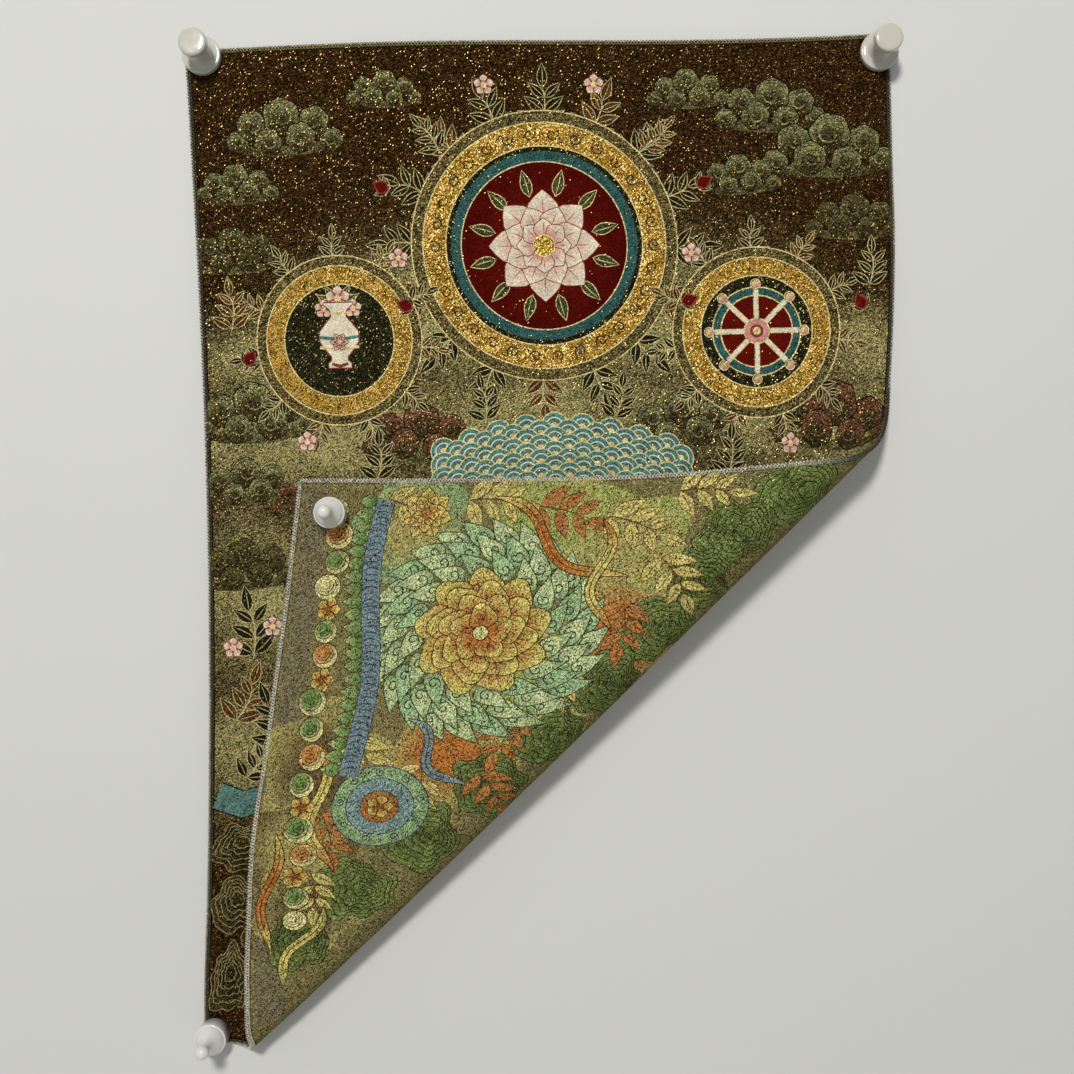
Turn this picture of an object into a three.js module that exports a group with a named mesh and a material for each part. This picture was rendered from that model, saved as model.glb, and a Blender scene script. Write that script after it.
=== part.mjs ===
// A woven picture panel pinned up on a wall, its lower right corner folded over and pinned back.
// Millimetres, +Z up. The wall is the plane y = 0 and the panel's face looks along -Y.
// The origin is on the wall at the middle of the panel's top edge.
import * as THREE from "three";

// Cut cloth, lying flat: u runs right from the left edge, v runs down from the top edge
const CUT_WIDTH = 422;
const CUT_HEIGHT = 594;
const CLOTH_THICKNESS = 1.2;

// How the cloth hangs
const HANG_TILT_DEG = 1.4; // right end of the top edge is the higher one
const LEFT_DRAW_IN = 8.6; // left edge bows in between its two pins
const LOW_CORNER_PULL = 2.8; // lower left corner is pulled outwards by its pin
const TOP_EDGE_SWAY = 1.7; // top edge runs in a flat S
const LEFT_EDGE_BOW = 5; // left edge stands off the wall between its pins
const LEFT_BOW_REACH = 45;
const TOP_EDGE_BOW = 2.5; // top edge stands off the wall between its pins
const TOP_BOW_REACH = 120;
const PIN_PRESS_NEAR = 13; // cloth lies flat on the wall this near a pin
const PIN_PRESS_FAR = 70; // and hangs free this far from it

// The fold, a soft roll from the right edge down to the bottom edge
const FOLD_ON_RIGHT_EDGE = 227; // below the top right corner
const FOLD_ON_BOTTOM_EDGE = 30; // from the lower left corner
const ROLL_RADIUS_LOW = 10; // at the bottom edge
const ROLL_RADIUS_HIGH = 23; // at the right edge
const ROLL_LIFT_LOW = 1.5; // how far the roll itself stands off the wall
const ROLL_LIFT_HIGH = 6.5;
const LIFT_REACH = 120; // cloth begins to leave the wall this far before the fold
const SLIDE = 33; // the roll has slipped down along itself by its own weight
const SLIDE_START = -70; // measured across the fold from where the turn begins
const SLIDE_END = 150;
const HELD_CORNER = 70; // reach of the lower left pin's hold against that slip

// The turned corner, lying over the front
const FLAP_EASE = 0.9; // fullness taken up in the flap's soft ripples
const FLAP_LANDING = 186; // distance from the fold at which the flap meets the cloth below it
const FLAP_GAP = 1.2; // clear space left between the two layers at the pin
const RIPPLE_HEIGHT = 2;
const RIPPLE_LENGTH = 95;

// Sampling of the cloth: rows run along the fold, close together on the roll
const ROW_POINTS = 30;
const ROW_STEP_WIDE = 16;
const ROW_STEP_FLAP = 12;
const ROW_STEP_ROLL = 4;
const ROLL_ZONE_START = -28;
const ROLL_ZONE_END = 54;

// Pins, with the place of each one's foot on the wall plane
const PIN_SEAT_GAP = 0.3;
const PIN_SEGMENTS = 28;
const PINS = [
  { name: "pin_top_left", shape: "cap", x: -200.1, z: -9.2, onFlap: false },
  { name: "pin_top_right", shape: "cap", x: 204.3, z: -6.7, onFlap: false },
  { name: "pin_low_left", shape: "knob", x: -193, z: -593.7, onFlap: false },
  { name: "pin_flap", shape: "knob", x: -122.4, z: -282.1, onFlap: true },
];

// Capped pin: flange, waisted stem and flat cap
const CAP_PIN = {
  flangeRadius: 11.4,
  flangeHeight: 4.4,
  footRadius: 7.2,
  waistRadius: 5,
  capRadius: 8.3,
  height: 24,
};
// Knobbed pin: drum, bell shoulder and round knob
const KNOB_PIN = { drumRadius: 9.3, drumHeight: 10.5, neckRadius: 2.7, knobRadius: 4, height: 31 };

const FINISH = {
  cloth: new THREE.MeshStandardMaterial({ color: 0x4a3a1c, roughness: 0.62, metalness: 0.15 }),
  ivory: new THREE.MeshStandardMaterial({ color: 0xdcdccb, roughness: 0.3, metalness: 0 }),
  white: new THREE.MeshStandardMaterial({ color: 0xe9e7ea, roughness: 0.28, metalness: 0 }),
};

// Fold line in the flat cloth, with the origin at the middle of the top edge and the second axis down
const foldLow = new THREE.Vector2(-CUT_WIDTH / 2 + FOLD_ON_BOTTOM_EDGE, CUT_HEIGHT);
const foldHigh = new THREE.Vector2(CUT_WIDTH / 2, FOLD_ON_RIGHT_EDGE);
const foldLength = foldLow.distanceTo(foldHigh);
const along = foldHigh.clone().sub(foldLow).normalize();
const across = new THREE.Vector2(-along.y, along.x);

const smooth = (low, high, value) => THREE.MathUtils.smoothstep(value, low, high);
const mix = THREE.MathUtils.lerp;

// Distance along the fold and across it, of a point of the flat cloth
function foldCoordinates(u, v) {
  const fromLow = new THREE.Vector2(u - CUT_WIDTH / 2, v).sub(foldLow);
  return { t: fromLow.dot(along), s: fromLow.dot(across) };
}

// Where the cloth lies once it is folded over: place in the flat cloth's plane, height above it,
// and the lift by which the whole roll stands off the wall
function foldOver(u, v) {
  const { t, s } = foldCoordinates(u, v);
  const share = t / foldLength;
  const radius = mix(ROLL_RADIUS_LOW, ROLL_RADIUS_HIGH, smooth(-0.2, 0.9, share));
  const turn = THREE.MathUtils.clamp((s + radius) / radius, 0, Math.PI);
  const before = Math.min(s + radius, 0);
  const after = FLAP_EASE * Math.max(s - (Math.PI - 1) * radius, 0);

  const reach = before - radius + radius * Math.sin(turn) - after;
  const held = smooth(0, HELD_CORNER, Math.hypot(u, CUT_HEIGHT - v));
  const travel = t - SLIDE * smooth(SLIDE_START, SLIDE_END, s + radius) * held;

  const fall = THREE.MathUtils.clamp(after / (FLAP_LANDING - radius), 0, 1);
  const rest = CLOTH_THICKNESS + FLAP_GAP;
  const slope = mix(rest, 2 * radius, 0.5 + 0.5 * Math.cos(Math.PI * fall));
  const ripple = RIPPLE_HEIGHT * Math.sin((2 * Math.PI * (after + 0.4 * t)) / RIPPLE_LENGTH);
  const flapHeight = slope + ripple * 4 * fall * (1 - fall);
  const rollHeight = radius * (1 - Math.cos(turn));
  const lift = mix(ROLL_LIFT_LOW, ROLL_LIFT_HIGH, smooth(0, 1, share)) * smooth(-LIFT_REACH, -5, s);
  const height = after > 0 ? flapHeight : rollHeight;

  const flat = foldLow.clone().addScaledVector(along, travel).addScaledVector(across, reach);
  return { flat, height, lift: lift * (1 - smooth(0, 0.85, fall)) };
}

// Middle surface of the hanging cloth
function hang(u, v) {
  const { flat, height, lift } = foldOver(u, v);
  const tilt = THREE.MathUtils.degToRad(HANG_TILT_DEG);
  const q = u / CUT_WIDTH;
  const w = v / CUT_HEIGHT;
  let x = flat.x * Math.cos(tilt) + flat.y * Math.sin(tilt);
  let z = flat.x * Math.sin(tilt) - flat.y * Math.cos(tilt);
  x += (LEFT_DRAW_IN * Math.sin(Math.PI * w) - LOW_CORNER_PULL * w * w) * (1 - q) ** 2;
  z += TOP_EDGE_SWAY * Math.sin(2 * Math.PI * q) * Math.exp(-v / TOP_BOW_REACH);

  let bow = lift + LEFT_EDGE_BOW * Math.sin(Math.PI * w) * Math.max(1 - u / LEFT_BOW_REACH, 0) ** 2;
  bow += TOP_EDGE_BOW * Math.sin(Math.PI * q) ** 2 * Math.max(1 - v / TOP_BOW_REACH, 0) ** 2;
  for (const pin of PINS.filter((each) => !each.onFlap)) {
    bow *= smooth(PIN_PRESS_NEAR, PIN_PRESS_FAR, Math.hypot(x - pin.x, z - pin.z));
  }
  return new THREE.Vector3(x, -(height + bow + CLOTH_THICKNESS / 2), z);
}

// Unit normal on the woven face's side
function faceNormal(u, v) {
  const step = 0.25;
  const right = hang(u + step, v).sub(hang(u - step, v));
  const down = hang(u, v + step).sub(hang(u, v - step));
  return down.cross(right).normalize();
}

// Row values across the fold, with a row through each corner of the cut
function rowValues() {
  const corner = (u, v) => foldCoordinates(u, v).s;
  const zones = [
    { end: corner(CUT_WIDTH, 0), step: ROW_STEP_WIDE },
    { end: ROLL_ZONE_START, step: ROW_STEP_WIDE },
    { end: corner(0, CUT_HEIGHT), step: ROW_STEP_ROLL },
    { end: ROLL_ZONE_END, step: ROW_STEP_ROLL },
    { end: corner(CUT_WIDTH, CUT_HEIGHT), step: ROW_STEP_FLAP },
  ];
  const values = [corner(0, 0)];
  for (const { end, step } of zones) {
    const start = values.at(-1);
    const count = Math.ceil((end - start) / step);
    for (let i = 1; i <= count; i += 1) {
      values.push(mix(start, end, i / count));
    }
  }
  return values;
}

// The stretch of one row that lies inside the cut, as points (u, v) from the left or bottom edge
// to the other
function rowPoints(s) {
  const start = foldLow.clone().addScaledVector(across, s);
  const toLeft = (-CUT_WIDTH / 2 - start.x) / along.x;
  const toRight = (CUT_WIDTH / 2 - start.x) / along.x;
  const toBottom = (CUT_HEIGHT - start.y) / along.y;
  const toTop = -start.y / along.y;
  const first = Math.max(toLeft, toBottom);
  const last = Math.min(toRight, toTop);
  if (last - first < 0.01) {
    const only = start.clone().addScaledVector(along, first);
    return [new THREE.Vector2(only.x + CUT_WIDTH / 2, only.y)];
  }
  return Array.from({ length: ROW_POINTS }, (_, i) => {
    const place = start.clone().addScaledVector(along, mix(first, last, i / (ROW_POINTS - 1)));
    return new THREE.Vector2(place.x + CUT_WIDTH / 2, place.y);
  });
}

// The cloth as one closed sheet: the woven face, the reverse, and the cut edge between them
function clothGeometry() {
  const rows = rowValues().map(rowPoints);
  const starts = [];
  const face = [];
  const reverse = [];
  for (const row of rows) {
    starts.push(face.length);
    for (const { x: u, y: v } of row) {
      const offset = faceNormal(u, v).multiplyScalar(CLOTH_THICKNESS / 2);
      face.push(hang(u, v).add(offset));
      reverse.push(hang(u, v).sub(offset));
    }
  }
  const at = (row, i) => starts[row] + Math.min(i, rows[row].length - 1);
  const sides = face.length;
  const triangles = [];
  const add = (a, b, c) => {
    if (a !== b && b !== c && c !== a) {
      triangles.push(a, b, c);
    }
  };
  for (let row = 0; row + 1 < rows.length; row += 1) {
    for (let i = 0; i + 1 < ROW_POINTS; i += 1) {
      const [a, b, c, d] = [at(row, i), at(row, i + 1), at(row + 1, i + 1), at(row + 1, i)];
      add(a, d, c);
      add(a, c, b);
      add(sides + a, sides + c, sides + d);
      add(sides + a, sides + b, sides + c);
    }
    const [low, lowNext] = [at(row, 0), at(row + 1, 0)];
    const [high, highNext] = [at(row, ROW_POINTS), at(row + 1, ROW_POINTS)];
    add(low, sides + lowNext, lowNext);
    add(low, sides + low, sides + lowNext);
    add(high, highNext, sides + highNext);
    add(high, sides + highNext, sides + high);
  }
  const geometry = new THREE.BufferGeometry();
  geometry.setFromPoints([...face, ...reverse]);
  geometry.setIndex(triangles);
  geometry.computeVertexNormals();
  return geometry;
}

// Points of a round arc about (radius, height), angles in degrees from straight out to straight up
function arc(radius, height, size, from, to, count) {
  return Array.from({ length: count + 1 }, (_, i) => {
    const angle = THREE.MathUtils.degToRad(mix(from, to, i / count));
    return new THREE.Vector2(radius + size * Math.cos(angle), height + size * Math.sin(angle));
  });
}

// Half section of the capped pin, from the axis at its foot to the axis at its top
function capPinProfile() {
  const { flangeRadius, flangeHeight, footRadius, waistRadius, capRadius, height } = CAP_PIN;
  const stem = new THREE.CatmullRomCurve3([
    new THREE.Vector3(footRadius, flangeHeight, 0),
    new THREE.Vector3(waistRadius + 0.8, 0.42 * height, 0),
    new THREE.Vector3(waistRadius, 0.62 * height, 0),
    new THREE.Vector3(capRadius, 0.8 * height, 0),
  ]);
  return [
    new THREE.Vector2(0, 0),
    new THREE.Vector2(flangeRadius, 0),
    ...arc(flangeRadius - 1, flangeHeight - 1, 1, 0, 90, 4),
    ...stem.getPoints(10).map((point) => new THREE.Vector2(point.x, point.y)),
    ...arc(capRadius - 1.8, height - 1.8, 1.8, 0, 90, 5),
    new THREE.Vector2(0, height),
  ];
}

// Half section of the knobbed pin, from the axis at its foot to the axis at its top
function knobPinProfile() {
  const { drumRadius, drumHeight, neckRadius, knobRadius, height } = KNOB_PIN;
  const knobCentre = height - knobRadius;
  const joinAngle = -THREE.MathUtils.radToDeg(Math.acos(neckRadius / knobRadius));
  const bell = new THREE.CubicBezierCurve(
    new THREE.Vector2(drumRadius - 0.6, drumHeight),
    new THREE.Vector2(0.75 * drumRadius, drumHeight + 4.5),
    new THREE.Vector2(neckRadius, drumHeight + 5.5),
    new THREE.Vector2(neckRadius, knobCentre + knobRadius * Math.sin(THREE.MathUtils.degToRad(joinAngle))),
  );
  return [
    new THREE.Vector2(0, 0),
    new THREE.Vector2(drumRadius, 0),
    new THREE.Vector2(drumRadius, drumHeight - 0.6),
    ...bell.getPoints(10),
    ...arc(0, knobCentre, knobRadius, joinAngle, 90, 9).slice(1, -1),
    new THREE.Vector2(0, height),
  ];
}

function addMesh(group, name, geometry, material) {
  const mesh = new THREE.Mesh(geometry, material);
  mesh.name = name;
  group.add(mesh);
  return mesh;
}

const panel = new THREE.Group();
addMesh(panel, "panel_cloth", clothGeometry(), FINISH.cloth);

const profiles = { cap: capPinProfile(), knob: knobPinProfile() };
const finishes = { cap: FINISH.ivory, knob: FINISH.white };
const layerHeight = CLOTH_THICKNESS + FLAP_GAP;
for (const { name, shape, x, z, onFlap } of PINS) {
  const geometry = new THREE.LatheGeometry(profiles[shape], PIN_SEGMENTS);
  const pin = addMesh(panel, name, geometry, finishes[shape]);
  const seat = CLOTH_THICKNESS + PIN_SEAT_GAP + (onFlap ? layerHeight : 0);
  pin.rotation.x = Math.PI; // lathe axis turned to point out of the wall
  pin.position.set(x, -seat, z);
}

export default panel;
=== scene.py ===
# %% [markdown]
# # A woven picture panel, pinned up with one corner folded over
#
# The real object is one length of metallic brocade, overlocked along its four edges and held on a wall by
# four plastic pins. Its lower right corner is turned up over a soft roll, so both sides of the weave show.
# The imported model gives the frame: every piece below is made in its place, in metres, and stands for one of
# its nodes.

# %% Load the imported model
import math
from collections import namedtuple

import bmesh
import bpy
import numpy as np
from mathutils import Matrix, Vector
from mathutils.geometry import delaunay_2d_cdt


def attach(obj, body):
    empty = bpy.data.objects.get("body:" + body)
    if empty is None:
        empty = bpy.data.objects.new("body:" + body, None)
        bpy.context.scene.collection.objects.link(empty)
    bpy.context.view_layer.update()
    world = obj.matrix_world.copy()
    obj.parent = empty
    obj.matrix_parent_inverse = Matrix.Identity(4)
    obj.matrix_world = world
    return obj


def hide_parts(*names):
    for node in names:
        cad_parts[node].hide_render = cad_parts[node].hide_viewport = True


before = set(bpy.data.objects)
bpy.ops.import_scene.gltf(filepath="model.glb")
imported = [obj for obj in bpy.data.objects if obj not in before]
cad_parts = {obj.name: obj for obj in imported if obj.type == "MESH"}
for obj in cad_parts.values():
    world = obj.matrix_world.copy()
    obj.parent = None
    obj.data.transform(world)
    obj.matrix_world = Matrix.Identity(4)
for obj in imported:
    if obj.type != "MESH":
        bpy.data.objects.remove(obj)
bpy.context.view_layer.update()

# %% [markdown]
# ## Camera
#
# The photograph is taken square on, from arm's length. At 0.6 mm a pixel on the wall its frame is 644 mm
# wide, and the way the pins lean outwards puts the lens about 720 mm from the wall.

# %% Camera
MM = 0.001
PHOTO_PIXELS = 1074
WALL_MM_PER_PIXEL = 0.6
CAMERA_DISTANCE = 720.0
CAMERA_HEIGHT = -296.5
SENSOR_WIDTH = 36.0


def add_camera():
    """Put the camera on the line square to the wall through the middle of the photograph's frame."""
    data = bpy.data.cameras.new("camera")
    data.sensor_width = SENSOR_WIDTH
    data.lens = SENSOR_WIDTH * CAMERA_DISTANCE / (PHOTO_PIXELS * WALL_MM_PER_PIXEL)
    camera = bpy.data.objects.new("camera", data)
    camera.location = (0, -CAMERA_DISTANCE * MM, CAMERA_HEIGHT * MM)
    camera.rotation_euler = (math.pi / 2, 0, 0)
    bpy.context.collection.objects.link(camera)
    bpy.context.scene.camera = camera
    return camera


camera = add_camera()
print("lens in mm:", round(camera.data.lens, 1))

# %% [markdown]
# ## Putting arrays into meshes
#
# Every piece here is worked out as whole arrays of points and faces. One helper turns such arrays into an
# object, and another makes the grid of faces that joins a sheet of points arranged in rows.

# %% Mesh helpers
def add_mesh(name, points, faces, smooth=True):
    """Make an object from points in millimetres and an array of faces with equally many corners each."""
    points = np.asarray(points, np.float32) * MM
    faces = np.asarray(faces, np.int32)
    mesh = bpy.data.meshes.new(name)
    mesh.vertices.add(len(points))
    mesh.vertices.foreach_set("co", points.ravel())
    mesh.loops.add(faces.size)
    mesh.loops.foreach_set("vertex_index", faces.ravel())
    mesh.polygons.add(len(faces))
    mesh.polygons.foreach_set("loop_start", np.arange(0, faces.size, faces.shape[1], dtype=np.int32))
    mesh.polygons.foreach_set("use_smooth", np.full(len(faces), smooth))
    mesh.update(calc_edges=True)
    mesh.validate()
    piece = bpy.data.objects.new(name, mesh)
    bpy.context.collection.objects.link(piece)
    return piece


def grid_faces(rows, columns, close_rows=False, close_columns=False):
    """Quads between neighbours of a rows by columns grid of points, closed round either way if asked."""
    row = np.arange(rows if close_rows else rows - 1)[:, None]
    column = np.arange(columns if close_columns else columns - 1)[None, :]
    next_row = (row + 1) % rows
    next_column = (column + 1) % columns
    quads = np.stack([
        row * columns + column,
        row * columns + next_column,
        next_row * columns + next_column,
        next_row * columns + column,
    ], axis=-1)
    return quads.reshape(-1, 4)


# %% [markdown]
# ## How the cloth hangs
#
# The cloth is a flat cut first: u runs right from its left edge and v runs down from its top edge, in
# millimetres. A simulation could drop it into place, but it would not stop at this one fold, so the fold is
# placed with given sizes. One formula takes any point of the flat cut to its place on the wall, and the edge
# stitches use it too.

# %% Sizes of the cut and of the fold, in millimetres
CUT_WIDTH = 422.0
CUT_HEIGHT = 594.0
THICKNESS = 1.2
HANG_TILT = math.radians(1.4)
LEFT_DRAW_IN = 8.6
LOW_CORNER_PULL = 2.8
TOP_EDGE_SWAY = 1.7
LEFT_EDGE_BOW, LEFT_BOW_REACH = 5.0, 45.0
TOP_EDGE_BOW, TOP_BOW_REACH = 2.5, 120.0
PRESS_NEAR, PRESS_FAR = 13.0, 70.0
FOLD_ON_RIGHT_EDGE = 227.0
FOLD_ON_BOTTOM_EDGE = 30.0
ROLL_RADIUS = (10.0, 23.0)
ROLL_GROWTH = (-0.2, 0.9)
ROLL_LIFT = (1.5, 6.5)
LIFT_REACH = (-120.0, -5.0)
LIFT_ENDS = 0.85
SLIDE, SLIDE_START, SLIDE_END = 33.0, -70.0, 150.0
HELD_CORNER = 70.0
FLAP_EASE, FLAP_LANDING, FLAP_GAP = 0.9, 186.0, 1.2
RIPPLE_HEIGHT, RIPPLE_LENGTH, RIPPLE_SLANT = 2.0, 95.0, 0.4
PIN_PLACES = {
    "pin_top_left": (-200.1, -9.2),
    "pin_top_right": (204.3, -6.7),
    "pin_low_left": (-193.0, -593.7),
    "pin_flap": (-122.4, -282.1),
}
fold_low = np.array([FOLD_ON_BOTTOM_EDGE - CUT_WIDTH / 2, CUT_HEIGHT])
fold_high = np.array([CUT_WIDTH / 2, FOLD_ON_RIGHT_EDGE])
fold_length = np.hypot(*(fold_high - fold_low))
along = (fold_high - fold_low) / fold_length
across = np.array([-along[1], along[0]])
print("fold length in mm:", round(fold_length))


# %% From the flat cut to the wall
def ease(low, high, value):
    """Rise from 0 at low to 1 at high, by 3 k squared less 2 k cubed."""
    k = np.clip((value - low) / (high - low), 0, 1)
    return k * k * (3 - 2 * k)


def fold_coordinates(u, v):
    """Distance along the fold from its low end, and across it, towards the turned corner."""
    du = u - CUT_WIDTH / 2 - fold_low[0]
    dv = v - fold_low[1]
    return du * along[0] + dv * along[1], du * across[0] + dv * across[1]


def fold_over(u, v):
    """Folded place in the cloth's own plane, height above that plane, and lift of the roll off the wall.

    Up to the fold a point stays put. On the fold it goes round half a circle whose radius grows along the
    fold. After it, the cloth comes back over itself and falls to the layer below on half a cosine wave,
    with ripples.
    """
    t, s = fold_coordinates(u, v)
    share = t / fold_length
    radius = ROLL_RADIUS[0] + (ROLL_RADIUS[1] - ROLL_RADIUS[0]) * ease(*ROLL_GROWTH, share)
    turn = np.clip((s + radius) / radius, 0, np.pi)
    before = np.minimum(s + radius, 0)
    after = FLAP_EASE * np.maximum(s - (np.pi - 1) * radius, 0)
    reach = before - radius + radius * np.sin(turn) - after
    held = ease(0, HELD_CORNER, np.hypot(u, CUT_HEIGHT - v))
    travel = t - SLIDE * ease(SLIDE_START, SLIDE_END, s + radius) * held
    fall = np.clip(after / (FLAP_LANDING - radius), 0, 1)
    rest = THICKNESS + FLAP_GAP
    slope = rest + (2 * radius - rest) * (0.5 + 0.5 * np.cos(np.pi * fall))
    ripple = RIPPLE_HEIGHT * np.sin(2 * np.pi * (after + RIPPLE_SLANT * t) / RIPPLE_LENGTH)
    flap = slope + ripple * 4 * fall * (1 - fall)
    height = np.where(after > 0, flap, radius * (1 - np.cos(turn)))
    lift = ROLL_LIFT[0] + (ROLL_LIFT[1] - ROLL_LIFT[0]) * ease(0, 1, share)
    lift = lift * ease(*LIFT_REACH, s) * (1 - ease(0, LIFT_ENDS, fall))
    flat_x = fold_low[0] + along[0] * travel + across[0] * reach
    flat_y = fold_low[1] + along[1] * travel + across[1] * reach
    return flat_x, flat_y, height, lift


def hang(u, v):
    """Middle surface of the hanging cloth, as an array of points (x, y, z) for arrays of cut places (u, v).

    The folded cut is turned by its tilt, drawn in along its left edge, and bowed off the wall away from the
    pins.
    """
    u, v = np.broadcast_arrays(np.asarray(u, float), np.asarray(v, float))
    flat_x, flat_y, height, lift = fold_over(u, v)
    q, w = u / CUT_WIDTH, v / CUT_HEIGHT
    x = flat_x * np.cos(HANG_TILT) + flat_y * np.sin(HANG_TILT)
    z = flat_x * np.sin(HANG_TILT) - flat_y * np.cos(HANG_TILT)
    x = x + (LEFT_DRAW_IN * np.sin(np.pi * w) - LOW_CORNER_PULL * w**2) * (1 - q) ** 2
    z = z + TOP_EDGE_SWAY * np.sin(2 * np.pi * q) * np.exp(-v / TOP_BOW_REACH)
    bow = lift + LEFT_EDGE_BOW * np.sin(np.pi * w) * np.maximum(1 - u / LEFT_BOW_REACH, 0) ** 2
    bow = bow + TOP_EDGE_BOW * np.sin(np.pi * q) ** 2 * np.maximum(1 - v / TOP_BOW_REACH, 0) ** 2
    for name in ("pin_top_left", "pin_top_right", "pin_low_left"):
        pin_x, pin_z = PIN_PLACES[name]
        bow = bow * ease(PRESS_NEAR, PRESS_FAR, np.hypot(x - pin_x, z - pin_z))
    return np.stack([x, -(height + bow + THICKNESS / 2), z], axis=-1)


def face_normal(u, v, step=0.25):
    """Unit normal on the woven face's side, from the slopes of the surface along v and along u."""
    right = hang(u + step, v) - hang(u - step, v)
    down = hang(u, v + step) - hang(u, v - step)
    normal = np.cross(down, right)
    return normal / np.linalg.norm(normal, axis=-1, keepdims=True)


print("turned corner lies at, in mm:", np.round(hang(CUT_WIDTH, CUT_HEIGHT), 1))

# %% [markdown]
# ## Yarns
#
# In a brocade of this kind each colour of the picture comes from a bundle of yarns. The ones that aren't
# wanted on the face float on the reverse, so every area has one colour in front and another one behind. The
# table gives both for each area, as 0 to 255 values. Then come the share of metal strips, how uneven the
# yarn looks, as the power of two that its floats differ by, the share of dark thread between it, and
# whether fine lines break it up.

# %% Yarn table
YARN_COLUMNS = ("face", "reverse", "metal", "grain", "dark", "crackle")
YARNS = {
    "ground": ((48, 31, 14), (116, 108, 68), 0.085, 2.0, 0.30, 0),
    "mist": ((138, 132, 86), (148, 142, 86), 0.15, 1.15, 0.16, 0),
    "hem": ((28, 23, 12), (88, 80, 56), 0.03, 1.4, 0.15, 0),
    "border": ((52, 38, 20), (110, 102, 76), 0.10, 1.5, 0.18, 0),
    "cloud": ((52, 44, 24), (84, 98, 54), 0.13, 1.5, 0.18, 0),
    "cloud mid": ((80, 77, 48), (118, 130, 82), 0.13, 1.3, 0.16, 0),
    "cloud light": ((118, 119, 80), (150, 162, 106), 0.13, 1.1, 0.14, 0),
    "cloud rose": ((108, 70, 52), (150, 110, 72), 0.10, 1.1, 0.14, 0),
    "cloud line": ((26, 20, 10), (70, 68, 38), 0.04, 1.2, 0.10, 0),
    "leaf": ((32, 30, 17), (180, 170, 100), 0.05, 1.3, 0.10, 0),
    "leaf brown": ((80, 50, 21), (158, 108, 58), 0.08, 1.2, 0.12, 0),
    "leaf green": ((60, 66, 38), (142, 150, 80), 0.06, 1.1, 0.10, 0),
    "leaf line": ((176, 166, 118), (104, 66, 34), 0.08, 0.7, 0.05, 0),
    "gold": ((170, 136, 43), (164, 118, 60), 0.34, 1.15, 0.26, 1),
    "gold deep": ((152, 114, 37), (146, 102, 54), 0.32, 1.2, 0.26, 1),
    "gold line": ((206, 190, 134), (116, 80, 42), 0.10, 0.7, 0.05, 0),
    "red": ((86, 17, 11), (140, 84, 50), 0.01, 0.6, 0.01, 0),
    "red deep": ((70, 12, 8), (122, 70, 42), 0.01, 0.6, 0.01, 0),
    "teal": ((76, 126, 118), (118, 142, 134), 0.04, 0.8, 0.08, 0),
    "teal deep": ((46, 82, 80), (88, 108, 116), 0.04, 0.8, 0.08, 0),
    "teal line": ((36, 60, 58), (58, 72, 84), 0.02, 0.8, 0.05, 0),
    "deep": ((32, 33, 19), (140, 162, 122), 0.12, 1.7, 0.20, 0),
    "ivory": ((214, 206, 182), (178, 172, 102), 0.0, 0.4, 0.0, 0),
    "blush": ((190, 134, 122), (178, 136, 82), 0.0, 0.5, 0.0, 0),
    "rose": ((124, 60, 52), (144, 88, 50), 0.0, 0.6, 0.0, 0),
    "flame": ((40, 46, 32), (146, 172, 124), 0.03, 0.8, 0.0, 0),
    "flame deep": ((34, 38, 26), (124, 148, 104), 0.03, 0.8, 0.0, 0),
    "flame pale": ((60, 64, 44), (172, 184, 134), 0.03, 0.8, 0.0, 0),
    "flame line": ((132, 120, 74), (48, 66, 46), 0.03, 0.6, 0.0, 0),
    "petal": ((88, 60, 34), (186, 176, 98), 0.03, 0.8, 0.0, 0),
    "petal deep": ((70, 62, 34), (162, 102, 48), 0.03, 0.8, 0.0, 0),
    "petal line": ((166, 150, 98), (82, 52, 28), 0.04, 0.6, 0.0, 0),
    "jewel green": ((60, 66, 40), (90, 120, 64), 0.03, 0.8, 0.0, 0),
    "jewel orange": ((60, 66, 60), (172, 116, 60), 0.03, 0.8, 0.0, 0),
    "jewel cream": ((54, 46, 30), (196, 192, 132), 0.03, 0.8, 0.0, 0),
    "rock": ((36, 30, 15), (56, 64, 32), 0.10, 1.6, 0.20, 0),
    "rock light": ((62, 54, 30), (108, 122, 66), 0.10, 1.4, 0.18, 0),
    "rock line": ((132, 122, 84), (50, 42, 22), 0.08, 0.8, 0.05, 0),
    "earth": ((58, 44, 23), (94, 80, 52), 0.12, 1.6, 0.20, 0),
    "earth light": ((94, 84, 50), (152, 143, 86), 0.12, 1.3, 0.17, 0),
    "stream": ((84, 118, 110), (106, 124, 128), 0.04, 0.8, 0.08, 0),
}
REVERSE_THREADS = (0.11, 1.0, 0.15)
print("yarns:", len(YARNS))


def linear(colour):
    """Linear light from a 0 to 255 display colour, by the display curve."""
    c = np.asarray(colour, float) / 255
    return np.where(c <= 0.04045, c / 12.92, ((c + 0.055) / 1.055) ** 2.4)


# %% [markdown]
# ## Drawing on the flat cut
#
# The design is drawn as closed loops of points on the flat cut, each filled with one yarn and painted over
# the ones before it, as a weaver's point paper is coloured. The helpers make the loops: a circle, a petal,
# a ribbon along a path, and a loop drawn in from another to leave an outline round it.

# %% Loops and ribbons
EDGE_CLEARANCE = 0.8
Shape = namedtuple("Shape", "loop yarn rim centre radius")
shapes = []


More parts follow.
